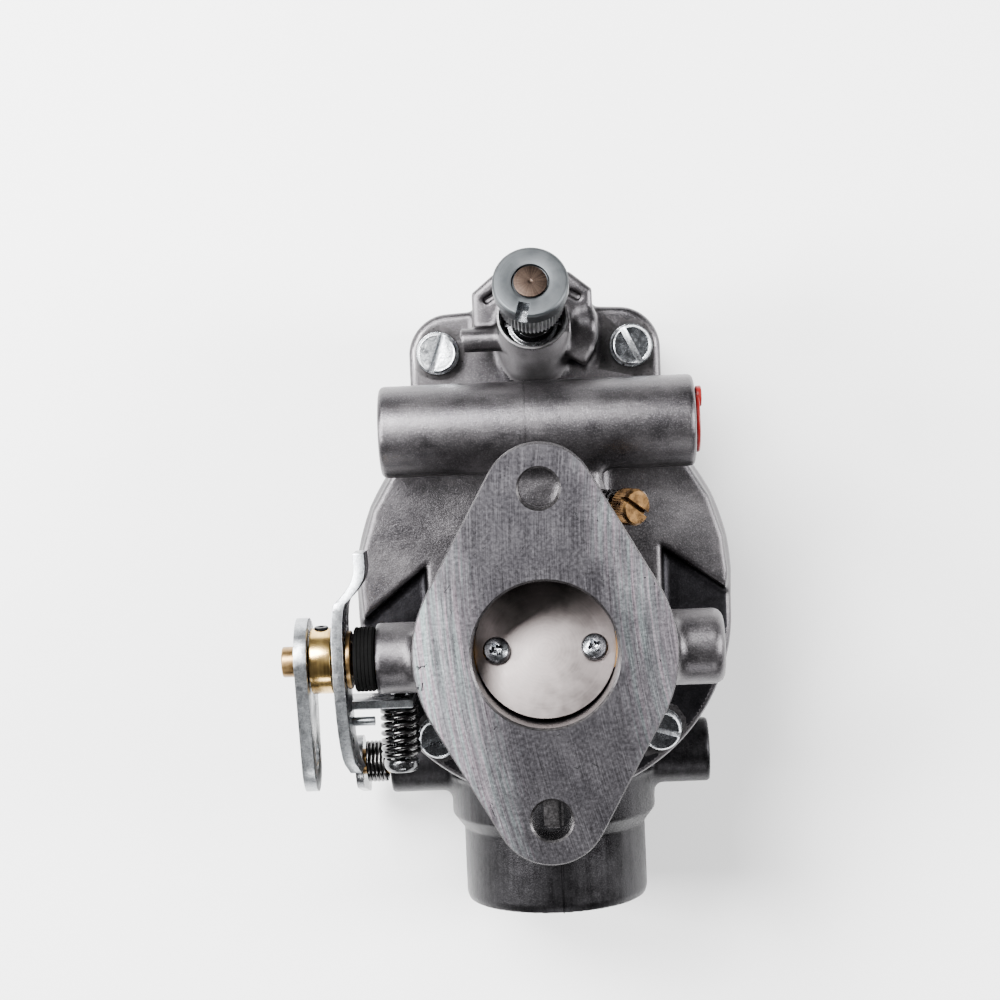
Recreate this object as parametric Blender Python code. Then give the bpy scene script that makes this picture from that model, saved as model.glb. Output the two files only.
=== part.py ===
"""Updraft carburetor, two castings, seen in one frame.

Origin: centre of the throttle bore on the manifold flange face.
+Z out of the flange face, +X along the throttle shaft (levers on the -X side),
-Y towards the air inlet. Lengths below are millimetres and are scaled on build.
"""
import math

import bmesh
import bpy
from mathutils import Matrix, Vector

for old in list(bpy.data.objects):
    bpy.data.objects.remove(old, do_unlink=True)

MM = 0.001
GAP = 0.3
ROUNDNESS = 0.7

# manifold flange and throttle bore
STUD_SPACING = 68.26
STUD_HOLE_R = 4.35
FLANGE_T = 9.0
FLANGE_MID_R = 27.6
FLANGE_END_R = 12.1
BORE_R = 15.1
BARREL_R = 19.5

# throttle shaft and plate
SHAFT_Y = -1.2
SHAFT_Z = -15.0
SHAFT_R = 4.0
SHAFT_END_R = 3.25
BOSS_L_X = -35.6
BOSS_R_X = 37.6
BOSS_L_R = 7.5
BOSS_R_R = 8.0
PLATE_T = 1.5
PLATE_LIFT = 1.5
CLOSED_TILT = math.radians(14)
REST_TILT = math.radians(20)
LEVER_REACH = 21.5
LEVER_DROP = 0.18
PLATE_SCREW_X = 10.3

# cover and bowl outline
COVER_R = 42.0
COVER_LOW_Y = 3.5
COVER_HIGH_Y = 12.0
LUG_X = 28.2
LUG_TOP_Y = 71.4
LUG_CORNER = 8.5
COVER_TOP = -44.0
PAD_TOP = -41.2
COVER_BASE = -49.4
GASKET_TOP = -49.7
GASKET_BASE = -50.5
BOWL_TOP = -50.8
BOWL_FLOOR = -88.0
BOWL_BASE = -92.0
WALL = 4.0
SCREW_UP = (21.6, 63.3)
SCREW_LOW = (24.9, -22.9)

# fuel inlet tube
TUBE_Y = 46.3
TUBE_Z = -31.5
TUBE_R = 10.0
TUBE_HALF = 34.2

# air horn and choke
HORN_Z = -75.0
HORN_R = 21.7
HORN_COLLAR_R = 24.3
HORN_BORE_R = 18.6
HORN_END_Y = -67.0
CHOKE_Y = -33.5
CHOKE_SHAFT_R = 3.2
CHOKE_BOSS_R = 7.6
CHOKE_BOSS_X = 37.6
CHOKE_BOSS_LEFT = 38.6
CHOKE_LEVER_DROP = math.radians(64)

# float, hanging on its pin in the empty bowl
FLOAT_PIN = Vector((0.0, 50.2, -55.3))
FLOAT_DROP = math.radians(8)
VALVE_Y = 41.5

# main adjusting needle axis, in the plane X = 0
NEEDLE_TILT = math.radians(21.6)
NEEDLE_FOOT = Vector((0.0, 64.2, -42.0))
RIM_L = 16.2
KNOB_FACE_L = 33.9
KNOB_R = 8.0

# idle mixture screw
IDLE_HEAD = Vector((20.6, 28.6, -15.5))
IDLE_DIR = Vector((0.66, -0.04, 0.75)).normalized()

MATERIALS = {}


def material(name, color, rough, metal):
    if name not in MATERIALS:
        m = bpy.data.materials.new(name)
        m.use_nodes = True
        b = m.node_tree.nodes["Principled BSDF"]
        b.inputs["Base Color"].default_value = (*color, 1.0)
        b.inputs["Roughness"].default_value = rough
        b.inputs["Metallic"].default_value = metal
        m.diffuse_color = (*color, 1.0)
        MATERIALS[name] = m
    return MATERIALS[name]


ALUMINIUM = ("cast aluminium", (0.42, 0.42, 0.43), 0.45, 1.0)
BRASS = ("brass", (0.70, 0.52, 0.26), 0.35, 1.0)
ZINC = ("zinc plated steel", (0.62, 0.65, 0.68), 0.32, 1.0)
STEEL = ("spring steel", (0.25, 0.25, 0.27), 0.3, 1.0)
BRONZE = ("bronze", (0.52, 0.40, 0.33), 0.4, 1.0)
BLACK = ("black rubber", (0.02, 0.02, 0.02), 0.7, 0.0)
FIBRE = ("gasket fibre", (0.10, 0.09, 0.08), 0.9, 0.0)
RED = ("red plastic", (0.70, 0.03, 0.02), 0.4, 0.0)
FOAM = ("float plastic", (0.06, 0.06, 0.07), 0.6, 0.0)


def make(name, verts, faces, mat, frame=None):
    """Closed mesh object from millimetre vertices, placed by its frame."""
    mesh = bpy.data.meshes.new(name)
    mesh.from_pydata([tuple(Vector(v) * MM) for v in verts], [], faces)
    bm = bmesh.new()
    bm.from_mesh(mesh)
    bmesh.ops.recalc_face_normals(bm, faces=bm.faces)
    bm.to_mesh(mesh)
    bm.free()
    mesh.materials.append(material(*mat))
    ob = bpy.data.objects.new(name, mesh)
    if frame is not None:
        ob.matrix_world = Matrix.Translation(frame.translation * MM) @ frame.to_3x3().to_4x4()
    bpy.context.scene.collection.objects.link(ob)
    return ob


def axis_frame(origin, direction, up=(0, 0, 1)):
    """Frame with its local Z along direction."""
    z = Vector(direction).normalized()
    u = Vector(up)
    if abs(z.dot(u)) > 0.95:
        u = Vector((0, 1, 0))
    x = u.cross(z).normalized()
    y = z.cross(x)
    m = Matrix((x, y, z)).transposed().to_4x4()
    m.translation = Vector(origin)
    return m


def lathe(name, profile, mat, frame=None, seg=32):
    """Solid of revolution about local Z: profile of (r, z), closed to the axis or a ring."""
    seg = max(8, 2 * round(seg * ROUNDNESS / 2))
    verts, rings = [], []
    for r, z in profile:
        if r < 1e-6:
            rings.append([len(verts)])
            verts.append((0, 0, z))
        else:
            rings.append(list(range(len(verts), len(verts) + seg)))
            for i in range(seg):
                a = 2 * math.pi * (i + 0.5) / seg
                verts.append((r * math.cos(a), r * math.sin(a), z))
    faces = []
    closed = len(rings[0]) > 1
    pairs = list(zip(rings, rings[1:]))
    if closed:
        pairs.append((rings[-1], rings[0]))
    for a, b in pairs:
        for i in range(seg):
            j = (i + 1) % seg
            if len(a) == 1 and len(b) > 1:
                faces.append((a[0], b[j], b[i]))
            elif len(b) == 1 and len(a) > 1:
                faces.append((a[i], a[j], b[0]))
            elif len(a) > 1:
                faces.append((a[i], a[j], b[j], b[i]))
    return make(name, verts, faces, mat, frame)


def rod(name, r, z0, z1, mat=ALUMINIUM, frame=None, seg=32, chamfer=0.0):
    if chamfer:
        prof = [(0, z0), (r - chamfer, z0), (r, z0 + chamfer), (r, z1 - chamfer), (r - chamfer, z1), (0, z1)]
    else:
        prof = [(0, z0), (r, z0), (r, z1), (0, z1)]
    return lathe(name, prof, mat, frame, seg)


def ring(name, r_in, r_out, z0, z1, mat, frame=None, seg=32):
    return lathe(name, [(r_in, z0), (r_out, z0), (r_out, z1), (r_in, z1)], mat, frame, seg)


def prism(name, layers, mat=ALUMINIUM, frame=None):
    """Stack of equal-count outlines: layers is a list of (points, z)."""
    n = len(layers[0][0])
    verts, faces = [], []
    for pts, z in layers:
        verts += [(x, y, z) for x, y in pts]
    for k in range(len(layers) - 1):
        for i in range(n):
            j = (i + 1) % n
            faces.append((k * n + i, k * n + j, (k + 1) * n + j, (k + 1) * n + i))
    faces.append(tuple(range(n - 1, -1, -1)))
    top = (len(layers) - 1) * n
    faces.append(tuple(range(top, top + n)))
    return make(name, verts, faces, mat, frame)


def box(name, x0, x1, y0, y1, z0, z1, mat=ALUMINIUM, frame=None):
    return prism(name, [([(x0, y0), (x1, y0), (x1, y1), (x0, y1)], z0),
                        ([(x0, y0), (x1, y0), (x1, y1), (x0, y1)], z1)], mat, frame)


def bake(ob):
    graph = bpy.context.evaluated_depsgraph_get()
    mesh = bpy.data.meshes.new_from_object(ob.evaluated_get(graph))
    bm = bmesh.new()
    bm.from_mesh(mesh)
    bmesh.ops.triangulate(bm, faces=bm.faces)
    bm.to_mesh(mesh)
    bm.free()
    ob.modifiers.clear()
    ob.data = mesh


def combine(base, parts, how):
    """Apply one boolean per part and drop the part."""
    for p in parts:
        mod = base.modifiers.new(how, "BOOLEAN")
        mod.operation = how
        mod.solver = "EXACT"
        mod.object = p
        bake(base)
        bpy.data.objects.remove(p, do_unlink=True)
    return base


def add(base, *parts):
    return combine(base, parts, "UNION")


def cut(base, *parts):
    return combine(base, parts, "DIFFERENCE")


def arc(cx, cy, r, a0, a1, n):
    return [(cx + r * math.cos(math.radians(a0 + (a1 - a0) * i / n)),
             cy + r * math.sin(math.radians(a0 + (a1 - a0) * i / n))) for i in range(n + 1)]


def hull_outline(r_mid, r_end, d_end, n_mid=12, n_end=12):
    """Diamond flange outline: a mid circle and two end circles on Y, joined by tangents."""
    t = math.degrees(math.asin((r_mid - r_end) / d_end))
    pts = arc(0, 0, r_mid, -t, t, n_mid)
    pts += arc(0, d_end, r_end, t, 180 - t, n_end)
    pts += arc(0, 0, r_mid, 180 - t, 180 + t, n_mid)
    pts += arc(0, -d_end, r_end, 180 + t, 360 - t, n_end)
    return pts


def body_outline(inset=0.0, n=80):
    """Bowl and cover outline: two overlapping discs and a squared lug plate on +Y."""
    r = COVER_R - inset
    hx, hy = LUG_X - inset, LUG_TOP_Y - inset
    c = max(LUG_CORNER - inset, 1.0)

    def inside(x, y):
        if math.hypot(x, y - COVER_LOW_Y) < r or math.hypot(x, y - COVER_HIGH_Y) < r:
            return True
        if abs(x) < r and COVER_LOW_Y < y < COVER_HIGH_Y:
            return True
        top = hy + 1.3 * (1 - (x / hx) ** 2)
        if y < 20 or abs(x) > hx or y > top:
            return False
        if abs(x) > hx - c and y > hy - c:
            return math.hypot(abs(x) - hx + c, y - hy + c) < c
        return True

    pts = []
    for i in range(n):
        a = 2 * math.pi * i / n
        lo, hi = 5.0, 90.0
        for _ in range(30):
            m = 0.5 * (lo + hi)
            if inside(m * math.cos(a), 20 + m * math.sin(a)):
                lo = m
            else:
                hi = m
        pts.append((lo * math.cos(a), 20 + lo * math.sin(a)))
    return pts


def along_x(x0, y, z):
    """Frame whose local Z runs along world +X from (x0, y, z)."""
    return axis_frame((x0, y, z), (1, 0, 0))


def needle_frame():
    return axis_frame(NEEDLE_FOOT, (0, math.sin(NEEDLE_TILT), math.cos(NEEDLE_TILT)))


def helix(name, r, wire, pitch, turns, frame, mat=STEEL, per_turn=12, sides=5):
    """Round-wire coil spring as a closed tube."""
    n = int(per_turn * turns)
    verts, faces = [], []
    for i in range(n + 1):
        a = 2 * math.pi * i / per_turn
        z = pitch * i / per_turn
        for k in range(sides):
            b = 2 * math.pi * k / sides
            rr = r + wire * math.cos(b)
            verts.append((rr * math.cos(a), rr * math.sin(a), z + wire * math.sin(b)))
    for i in range(n):
        for k in range(sides):
            m = (k + 1) % sides
            faces.append((i * sides + k, i * sides + m, (i + 1) * sides + m, (i + 1) * sides + k))
    faces.append(tuple(range(sides)))
    faces.append(tuple(range(n * sides + sides - 1, n * sides - 1, -1)))
    return make(name, verts, faces, mat, frame)


# ---------------------------------------------------------------- castings

def build_throttle_body():
    flange = hull_outline(FLANGE_MID_R, FLANGE_END_R, 31.6)
    small = [(x * 0.985, y * 0.99) for x, y in flange]
    body = prism("throttle_body", [(small, -FLANGE_T), (flange, -FLANGE_T + 0.6), (flange, 0)])
    outline = body_outline()
    inner = body_outline(1.6)
    add(body, lathe("barrel", [(0, -48), (25.4, -48), (25.2, -41.5), (22.5, -37.5), (20.2, -33),
                               (BARREL_R, -28), (BARREL_R, -5), (0, -5)], ALUMINIUM, None, 56))
    add(body, prism("cover", [(outline, COVER_BASE), (outline, COVER_TOP - 1.4), (inner, COVER_TOP)]))
    pad = [(-27, -16), (27, -16), (27.4, 17.9), (38.5, 10.3), (38.9, 20), (37, 30), (33, 39),
           (-33, 39), (-37, 30), (-38.9, 20), (-38.5, 10.3), (-27.4, 17.9)]
    pad_top = [(x * 0.985, y * 0.985 + 0.2) for x, y in pad]
    add(body, prism("pad", [(pad, -47), (pad, PAD_TOP - 0.5), (pad_top, PAD_TOP)]))
    bar = lathe("bar", [(0, 0), (TUBE_R - 1.6, 0), (TUBE_R - 0.4, 0.5), (TUBE_R, 1.6), (TUBE_R, 66.8),
                        (TUBE_R - 0.4, 67.9), (TUBE_R - 1.6, 68.4), (0, 68.4)],
                ALUMINIUM, along_x(-TUBE_HALF, TUBE_Y, TUBE_Z), 40)
    add(body, bar)
    add(body, box("tube_web", -32.5, 32.5, 38.2, 54.6, -46, -32.2))
    add(body, lathe("boss_left", [(0, 0), (BOSS_L_R - 0.5, 0), (BOSS_L_R, 0.5), (BOSS_L_R, 26), (0, 26)],
                    ALUMINIUM, along_x(BOSS_L_X, SHAFT_Y, SHAFT_Z), 36))
    add(body, lathe("boss_right", [(0, -26), (BOSS_R_R, -26), (BOSS_R_R, -3), (BOSS_R_R - 0.8, -1.0),
                                   (BOSS_R_R - 2.6, 0), (0, 0)],
                    ALUMINIUM, along_x(BOSS_R_X, SHAFT_Y, SHAFT_Z), 36))
    for s in (-1, 1):
        x0, x1 = sorted((s * 18, s * 33))
        add(body, box("boss_rib", x0, x1, SHAFT_Y - 2.4, SHAFT_Y + 2.4, -46, SHAFT_Z))
    add(body, box("stop_lug", -35.2, -28.5, -7.6, -3.2, -32, SHAFT_Z - 2))
    tilt = needle_frame()
    add(body, lathe("needle_boss", [(0, -4), (7.7, -4), (7.45, RIM_L - 1.2), (7.75, RIM_L - 0.9),
                                    (7.75, RIM_L), (0, RIM_L)], ALUMINIUM, tilt, 40))
    block = [(-13.3, 61), (-9, 57.5), (9, 57.5), (13.3, 62),
             (13.3, 76.1), (8.3, 80.1), (-8.3, 80.1), (-13.3, 76.1)]
    low = [(x * 0.93, 57.5 + (y - 57.5) * 0.93) for x, y in block]
    add(body, prism("block", [(low, -48.9), (block, -46), (block, -35.2), (low, -33.8)]))
    add(body, rod("stub", 2.6, -16, -2, ALUMINIUM, along_x(0, 65.6, -33.4), 24, 0.4))
    add(body, box("bridge", -6.5, 13.5, 14, 38.5, -46, -26.5))
    idle = axis_frame(IDLE_HEAD, IDLE_DIR)
    add(body, rod("idle_boss", 5.2, -26, -14.2, ALUMINIUM, idle, 28, 0.4))
    add(body, rod("inlet_boss", 7.2, -51.5, -36, ALUMINIUM, axis_frame((0, VALVE_Y, 0), (0, 0, 1)), 28))
    for s in (-1, 1):
        x0, x1 = sorted((s * 8.4, s * 11.4))
        add(body, box("hinge_lug", x0, x1, 47, 53.2, -57.6, -46))

    cut(body, lathe("bore", [(0, -60), (BORE_R, -60), (BORE_R, -0.45), (BORE_R + 1.0, 0.55), (0, 0.55)],
                    ALUMINIUM, None, 56))
    for s in (-1, 1):
        at = axis_frame((0, s * STUD_SPACING / 2, 0), (0, 0, 1))
        cut(body, lathe("stud_hole", [(0, -12), (STUD_HOLE_R, -12), (STUD_HOLE_R, -0.55),
                                      (STUD_HOLE_R + 1.1, 0.55), (0, 0.55)], ALUMINIUM, at, 36))
    cut(body, rod("shaft_hole", SHAFT_R + GAP, -40, 34.2, ALUMINIUM, along_x(0, SHAFT_Y, SHAFT_Z), 28))
    cut(body, rod("fuel_hole", 6.0, -7, 40, ALUMINIUM, along_x(0, TUBE_Y, TUBE_Z), 28))
    cut(body, rod("seat_hole", 5.0, -55, -33, ALUMINIUM, axis_frame((0, VALVE_Y, 0), (0, 0, 1)), 28))
    cut(body, rod("cup", 6.5, 6.2, 40, ALUMINIUM, tilt, 36))
    cut(body, rod("needle_hole", 3.0, -20, 10, ALUMINIUM, tilt, 24))
    cut(body, rod("idle_hole", 2.2, -40, 2, ALUMINIUM, idle, 20))
    cut(body, rod("idle_tube_hole", 1.6, -60, -46.5, ALUMINIUM, axis_frame((10.75, 18.6, 0), (0, 0, 1)), 16))
    for x, y in cover_screw_places():
        at = axis_frame((x, y, 0), (0, 0, 1))
        cut(body, rod("screw_hole", 2.8, -60, -40, ALUMINIUM, at, 20))
        cut(body, rod("seat", 6.0, COVER_TOP, -20, ALUMINIUM, at, 28))
    cut(body, rod("hinge_hole", 1.5, -13, 13, ALUMINIUM, along_x(0, FLOAT_PIN.y, FLOAT_PIN.z), 14))
    return body


def cover_screw_places():
    return [(-SCREW_UP[0], SCREW_UP[1]), (SCREW_UP[0], SCREW_UP[1]),
            (SCREW_LOW[0], SCREW_LOW[1]), (-SCREW_LOW[0], SCREW_LOW[1])]


def build_fuel_bowl():
    outer, mid, low = body_outline(0.3), body_outline(1.2), body_outline(4.2)
    bowl = prism("fuel_bowl", [(low, BOWL_BASE), (mid, BOWL_BASE + 3.2), (outer, -58), (outer, BOWL_TOP)])
    cavity = body_outline(WALL)
    cut(bowl, prism("cavity", [(cavity, BOWL_FLOOR), (cavity, -40)]))
    horn = axis_frame((0, 0, HORN_Z), (0, -1, 0))
    add(bowl, lathe("horn", [(0, -19.6), (8, -19.3), (15, -16.5), (19.3, -11), (20.6, -4), (20.6, 33),
                             (HORN_COLLAR_R, 36.5), (HORN_COLLAR_R, 46.2), (HORN_R, 49.6), (HORN_R, 64.8),
                             (HORN_R + 0.15, 66.0), (HORN_R - 0.7, -HORN_END_Y), (0, -HORN_END_Y)],
                    ALUMINIUM, horn, 48))
    add(bowl, rod("column", 19.5, HORN_Z, BOWL_TOP, ALUMINIUM, None, 48))
    for x, y in cover_screw_places():
        at = axis_frame((x, y, 0), (0, 0, 1))
        add(bowl, rod("screw_post", 5.7, BOWL_BASE + 4.6, BOWL_TOP, ALUMINIUM, at, 24))
    for s, end in ((-1, CHOKE_BOSS_LEFT), (1, CHOKE_BOSS_X)):
        add(bowl, rod("choke_boss", CHOKE_BOSS_R, 12, end, ALUMINIUM,
                      axis_frame((0, CHOKE_Y, HORN_Z), (s, 0, 0)), 32, 0.6))
    add(bowl, rod("drain_boss", 8, BOWL_BASE - 2.5, -86, ALUMINIUM, axis_frame((14, 40, 0), (0, 0, 1)), 28))
    add(bowl, rod("jet_boss", 5.6, -55.2, -44.5, ALUMINIUM, needle_frame(), 24))

    air = [(0, -14.5), (8, -14), (13.5, -11.5), (16.6, -6), (HORN_BORE_R, 2), (HORN_BORE_R, 64),
           (HORN_BORE_R + 0.9, 70), (0, 70)]
    cut(bowl, lathe("air", air, ALUMINIUM, horn, 48))
    cut(bowl, rod("throat", 16.3, HORN_Z + 2.3, -40, ALUMINIUM, None, 48))
    for x, y in cover_screw_places():
        at = axis_frame((x, y, 0), (0, 0, 1))
        cut(bowl, rod("screw_bore", 2.7, -64, -40, ALUMINIUM, at, 20))
    cut(bowl, rod("choke_hole", CHOKE_SHAFT_R + GAP, -45, 34.5, ALUMINIUM, along_x(0, CHOKE_Y, HORN_Z), 24))
    cut(bowl, rod("drain_hole", 4.6, -100, -80, ALUMINIUM, axis_frame((14, 40, 0), (0, 0, 1)), 24))
    cut(bowl, rod("jet_hole", 3.6, -52.0, -40, ALUMINIUM, needle_frame(), 24))
    add(bowl, rod("nozzle_boss", 5.0, -95.5, -84.0, ALUMINIUM, None, 24))
    cut(bowl, rod("nozzle_hole", 2.9, -92.5, -80, ALUMINIUM, None, 20))
    return bowl


def build_gasket():
    outer, inner = body_outline(0.8), body_outline(WALL - 0.6)
    g = prism("bowl_gasket", [(outer, GASKET_BASE), (outer, GASKET_TOP)], FIBRE)
    cut(g, prism("window", [(inner, -60), (inner, -40)]))
    for x, y in cover_screw_places():
        at = axis_frame((x, y, 0), (0, 0, 1))
        add(g, rod("ear", 5.0, GASKET_BASE, GASKET_TOP, FIBRE, at, 24))
        cut(g, rod("hole", 2.8, -60, -40, FIBRE, at, 20))
    return g


# ---------------------------------------------------------------- throttle

def tilted(angle):
    """Rotation about the throttle axis; positive opens the plate."""
    p = Vector((0, SHAFT_Y, SHAFT_Z))
    return Matrix.Translation(p) @ Matrix.Rotation(-angle, 4, "X") @ Matrix.Translation(-p)


def slab_in_bore(name, r, tilt, axis_y, axis_z, lift, thick, mat, frame, n=48):
    """Plate cut by a vertical bore of radius r, tilted so that its -Y side is high."""
    verts = []
    for off in (lift - thick / 2, lift + thick / 2):
        for i in range(n):
            a = 2 * math.pi * i / n
            x, y = r * math.cos(a), r * math.sin(a)
            z = axis_z + (off - math.sin(tilt) * (y - axis_y)) / math.cos(tilt)
            verts.append((x, y, z))
    faces = [tuple(range(n - 1, -1, -1)), tuple(range(n, 2 * n))]
    for i in range(n):
        j = (i + 1) % n
        faces.append((i, j, n + j, n + i))
    return make(name, verts, faces, mat, frame)


def plate_frame():
    """Frame at rest: local Z is the plate normal, through the shaft axis."""
    n = Vector((0, math.sin(REST_TILT), math.cos(REST_TILT)))
    return axis_frame((0, SHAFT_Y, SHAFT_Z), n)


def build_throttle():
    shaft = lathe("throttle_shaft", [(0, -55.8), (SHAFT_END_R - 0.5, -55.8), (SHAFT_END_R, -55.3),
                                     (SHAFT_END_R, -40.8), (SHAFT_R, -40.4), (SHAFT_R, 33.2), (0, 33.2)],
                  BRASS, along_x(0, SHAFT_Y, SHAFT_Z), 28)
    pf = plate_frame()
    flat = PLATE_LIFT - PLATE_T / 2 - 0.15
    cut(shaft, box("flat", -15.3, 15.3, -6, 6, flat, 6, BRASS, pf))
    opening = REST_TILT - CLOSED_TILT
    plate = slab_in_bore("throttle_plate", BORE_R - 0.14, CLOSED_TILT, SHAFT_Y, SHAFT_Z,
                         PLATE_LIFT + 0.15, PLATE_T, ALUMINIUM, tilted(opening))
    for i, s in enumerate((-1, 1)):
        at = pf @ Matrix.Translation((s * PLATE_SCREW_X, 0, 0))
        cut(plate, rod("hole", 1.8, -6, 6, ZINC, at, 16))
        cut(shaft, rod("hole", 1.8, -6, 6, ZINC, at, 16))
        z = PLATE_LIFT + PLATE_T / 2 + 0.45
        name = ("throttle_plate_screw_left", "throttle_plate_screw_right")[i]
        screw = lathe(name, [(0, -2.6), (1.5, -2.6), (1.5, z), (2.9, z), (2.9, z + 1.0), (2.2, z + 1.8),
                             (0, z + 2.1)], ZINC, at, 24)
        for k in (0, 90):
            turn = at @ Matrix.Rotation(math.radians(k + 25), 4, "Z")
            cut(screw, box("slot", -1.7, 1.7, -0.35, 0.35, z + 0.9, z + 4, ZINC, turn))
    return shaft


def lever_outline(r_hub, r_tip, reach, n=10):
    """Tapered arm in the plane of (along, across): a hub circle and a tip circle."""
    t = math.degrees(math.asin((r_hub - r_tip) / reach))
    return arc(0, 0, r_hub, 90 - t, 270 + t, 2 * n) + arc(reach, 0, r_tip, -90 + t, 90 - t, n)


def x_plate(name, pts, x0, x1, mat):
    """Plate of constant X thickness; pts are (y, z)."""
    return prism(name, [([(y, z) for y, z in pts], x0), ([(y, z) for y, z in pts], x1)], mat,
                 Matrix(((0, 0, 1, 0), (1, 0, 0, 0), (0, 1, 0, 0), (0, 0, 0, 1))))


def build_levers():
    ax = along_x(0, SHAFT_Y, SHAFT_Z)
    reach, drop = LEVER_REACH, LEVER_DROP
    pts = [(SHAFT_Y - a, SHAFT_Z - drop * max(0, a) + b) for a, b in lever_outline(9.2, 7.2, reach)]
    lever = x_plate("throttle_control_lever", pts, -52.4, -49.8, ZINC)
    cut(lever, rod("hole", SHAFT_END_R + GAP, -60, -40, ZINC, ax, 24))
    cut(lever, rod("rod_hole", 2.6, -60, -40, ZINC, along_x(0, SHAFT_Y - reach + 0.5, SHAFT_Z - drop * reach), 20))

    # stop lever: strip bent twice above the hub and slanted inwards below it
    spine = [(21.6, -39.6), (16.4, -39.4), (12.4, -42.4), (10.6, -44.6),
             (-7.5, -44.6), (-21.8, -44.0), (-25.2, -42.3)]
    half = [4.2, 5.2, 6.6, 7.4, 7.8, 6.0, 4.6]
    mid_z = [-15, -15, -15, -15, -15.5, -17.5, -18.0]
    verts, faces = [], []
    for i, (y, x) in enumerate(spine):
        for dx in (0, 2.4):
            for s in (-1, 1):
                verts.append((x + dx, y, mid_z[i] + s * half[i]))
    for i in range(len(spine) - 1):
        a, b = 4 * i, 4 * (i + 1)
        for p, q in ((0, 1), (1, 3), (3, 2), (2, 0)):
            faces.append((a + p, a + q, b + q, b + p))
    last = 4 * (len(spine) - 1)
    faces += [(0, 2, 3, 1), (last, last + 1, last + 3, last + 2)]
    stop = make("throttle_stop_lever", verts, faces, ZINC)
    add(stop, box("tab", -43.6, -28.9, -12.7, -10.8, -31.8, -19.5, ZINC))
    add(stop, rod("pin", 1.0, -43, -37.6, ZINC, along_x(0, -15.3, -20.5), 12))
    cut(stop, rod("hole", SHAFT_END_R + GAP, -60, -30, ZINC, ax, 24))
    screw_at = axis_frame((-32.4, -8.0, -27.0), (0, -1, 0))
    cut(stop, rod("hole", 2.0, -2, 12, ZINC, screw_at, 16))

    hub = ring("lever_hub_collar", SHAFT_END_R + GAP, 7.0, -49.5, -45.0, BRASS, ax, 36)
    up = axis_frame((-47.2, SHAFT_Y, SHAFT_Z), (0, 1, 0.12))
    cut(hub, rod("tap", 1.7, 0, 9, BRASS, up, 16))
    lathe("collar_set_screw", [(0, SHAFT_END_R + 0.7), (1.4, SHAFT_END_R + 0.7), (1.4, 7.4), (0, 7.4)],
          BLACK, up, 16)
    ring("lever_washer", SHAFT_END_R + GAP, 4.6, -53.0, -52.7, STEEL, ax, 24)
    ring("shaft_seal_retainer", SHAFT_END_R + 0.4 + GAP, 6.2, -41.9, -40.9, BRASS, ax, 30)
    ring("throttle_shaft_seal", SHAFT_R + GAP, 6.9, -40.3, -35.9, BLACK, ax, 36)

    screw = lathe("throttle_stop_screw", [(0, 0), (1.2, 0), (1.7, 0.6), (1.7, 16.9), (4.3, 16.9), (4.3, 19.8),
                                          (3.8, 20.3), (0, 20.3)], ZINC, screw_at, 28)
    cut(screw, box("slot", -6, 6, -0.5, 0.5, 18.9, 22, ZINC, screw_at))
    helix("throttle_stop_spring", 3.55, 0.62, 1.93, 5.4, screw_at @ Matrix.Translation((0, 0, 5.55)))
    return lever


# ---------------------------------------------------------------- adjusting screws

def build_idle_screw():
    at = axis_frame(IDLE_HEAD, IDLE_DIR)
    s = lathe("idle_mixture_screw", [(0, -32), (0.4, -32), (1.9, -26), (1.9, -4.6), (3.1, -4.6), (3.1, -4.0),
                                     (3.9, -3.8), (3.9, -0.5), (3.4, 0), (0, 0)], BRASS, at, 30)
    slot = at @ Matrix.Rotation(math.radians(62), 4, "Z")
    cut(s, box("slot", -6, 6, -0.55, 0.55, -1.5, 2, BRASS, slot))
    helix("idle_screw_spring", 2.9, 0.45, 1.72, 4.6, at @ Matrix.Translation((0, 0, -13.3)))


def build_main_needle():
    f = needle_frame()
    top = KNOB_FACE_L
    profile = [(3.0, top - 11.6), (6.6, top - 11.6), (7.0, top - 11.0), (7.0, top - 4.2),
               (7.9, top - 3.9), (KNOB_R, top - 3.4), (KNOB_R, top - 0.4), (KNOB_R - 0.4, top),
               (4.0, top), (3.9, top - 0.8), (3.0, top - 0.8)]
    knob = lathe("main_adjusting_knob", profile, ZINC, f, 44)
    turn = f @ Matrix.Rotation(math.radians(-16), 4, "Z")
    cut(knob, box("slot", -1.25, 1.25, 4.9, 10, top - 3.2, top + 3, ZINC, turn))
    profile = [(0, -51.4), (0.3, -51.4), (1.3, -47.5), (1.3, -40.5), (2.3, -38.5), (2.3, 7.0), (2.7, 7.6),
               (2.7, top - 0.4), (3.55, top - 0.4), (3.55, top + 0.1), (0.6, top + 0.15), (0, top - 0.05)]
    lathe("main_adjusting_needle", profile, BRONZE, f, 32)
    ring("needle_packing_nut", 3.0, 6.2, 9.2, 14.6, ZINC, f, 30)
    ring("needle_packing", 3.0, 6.0, 6.6, 8.9, BLACK, f, 28)
    ring("needle_seal_ring", 3.0, 4.4, 14.9, 16.8, BLACK, f, 28)
    ring("main_jet", 1.6, 3.3, -51.7, -45.0, BRASS, f, 24)


# ---------------------------------------------------------------- choke

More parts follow.
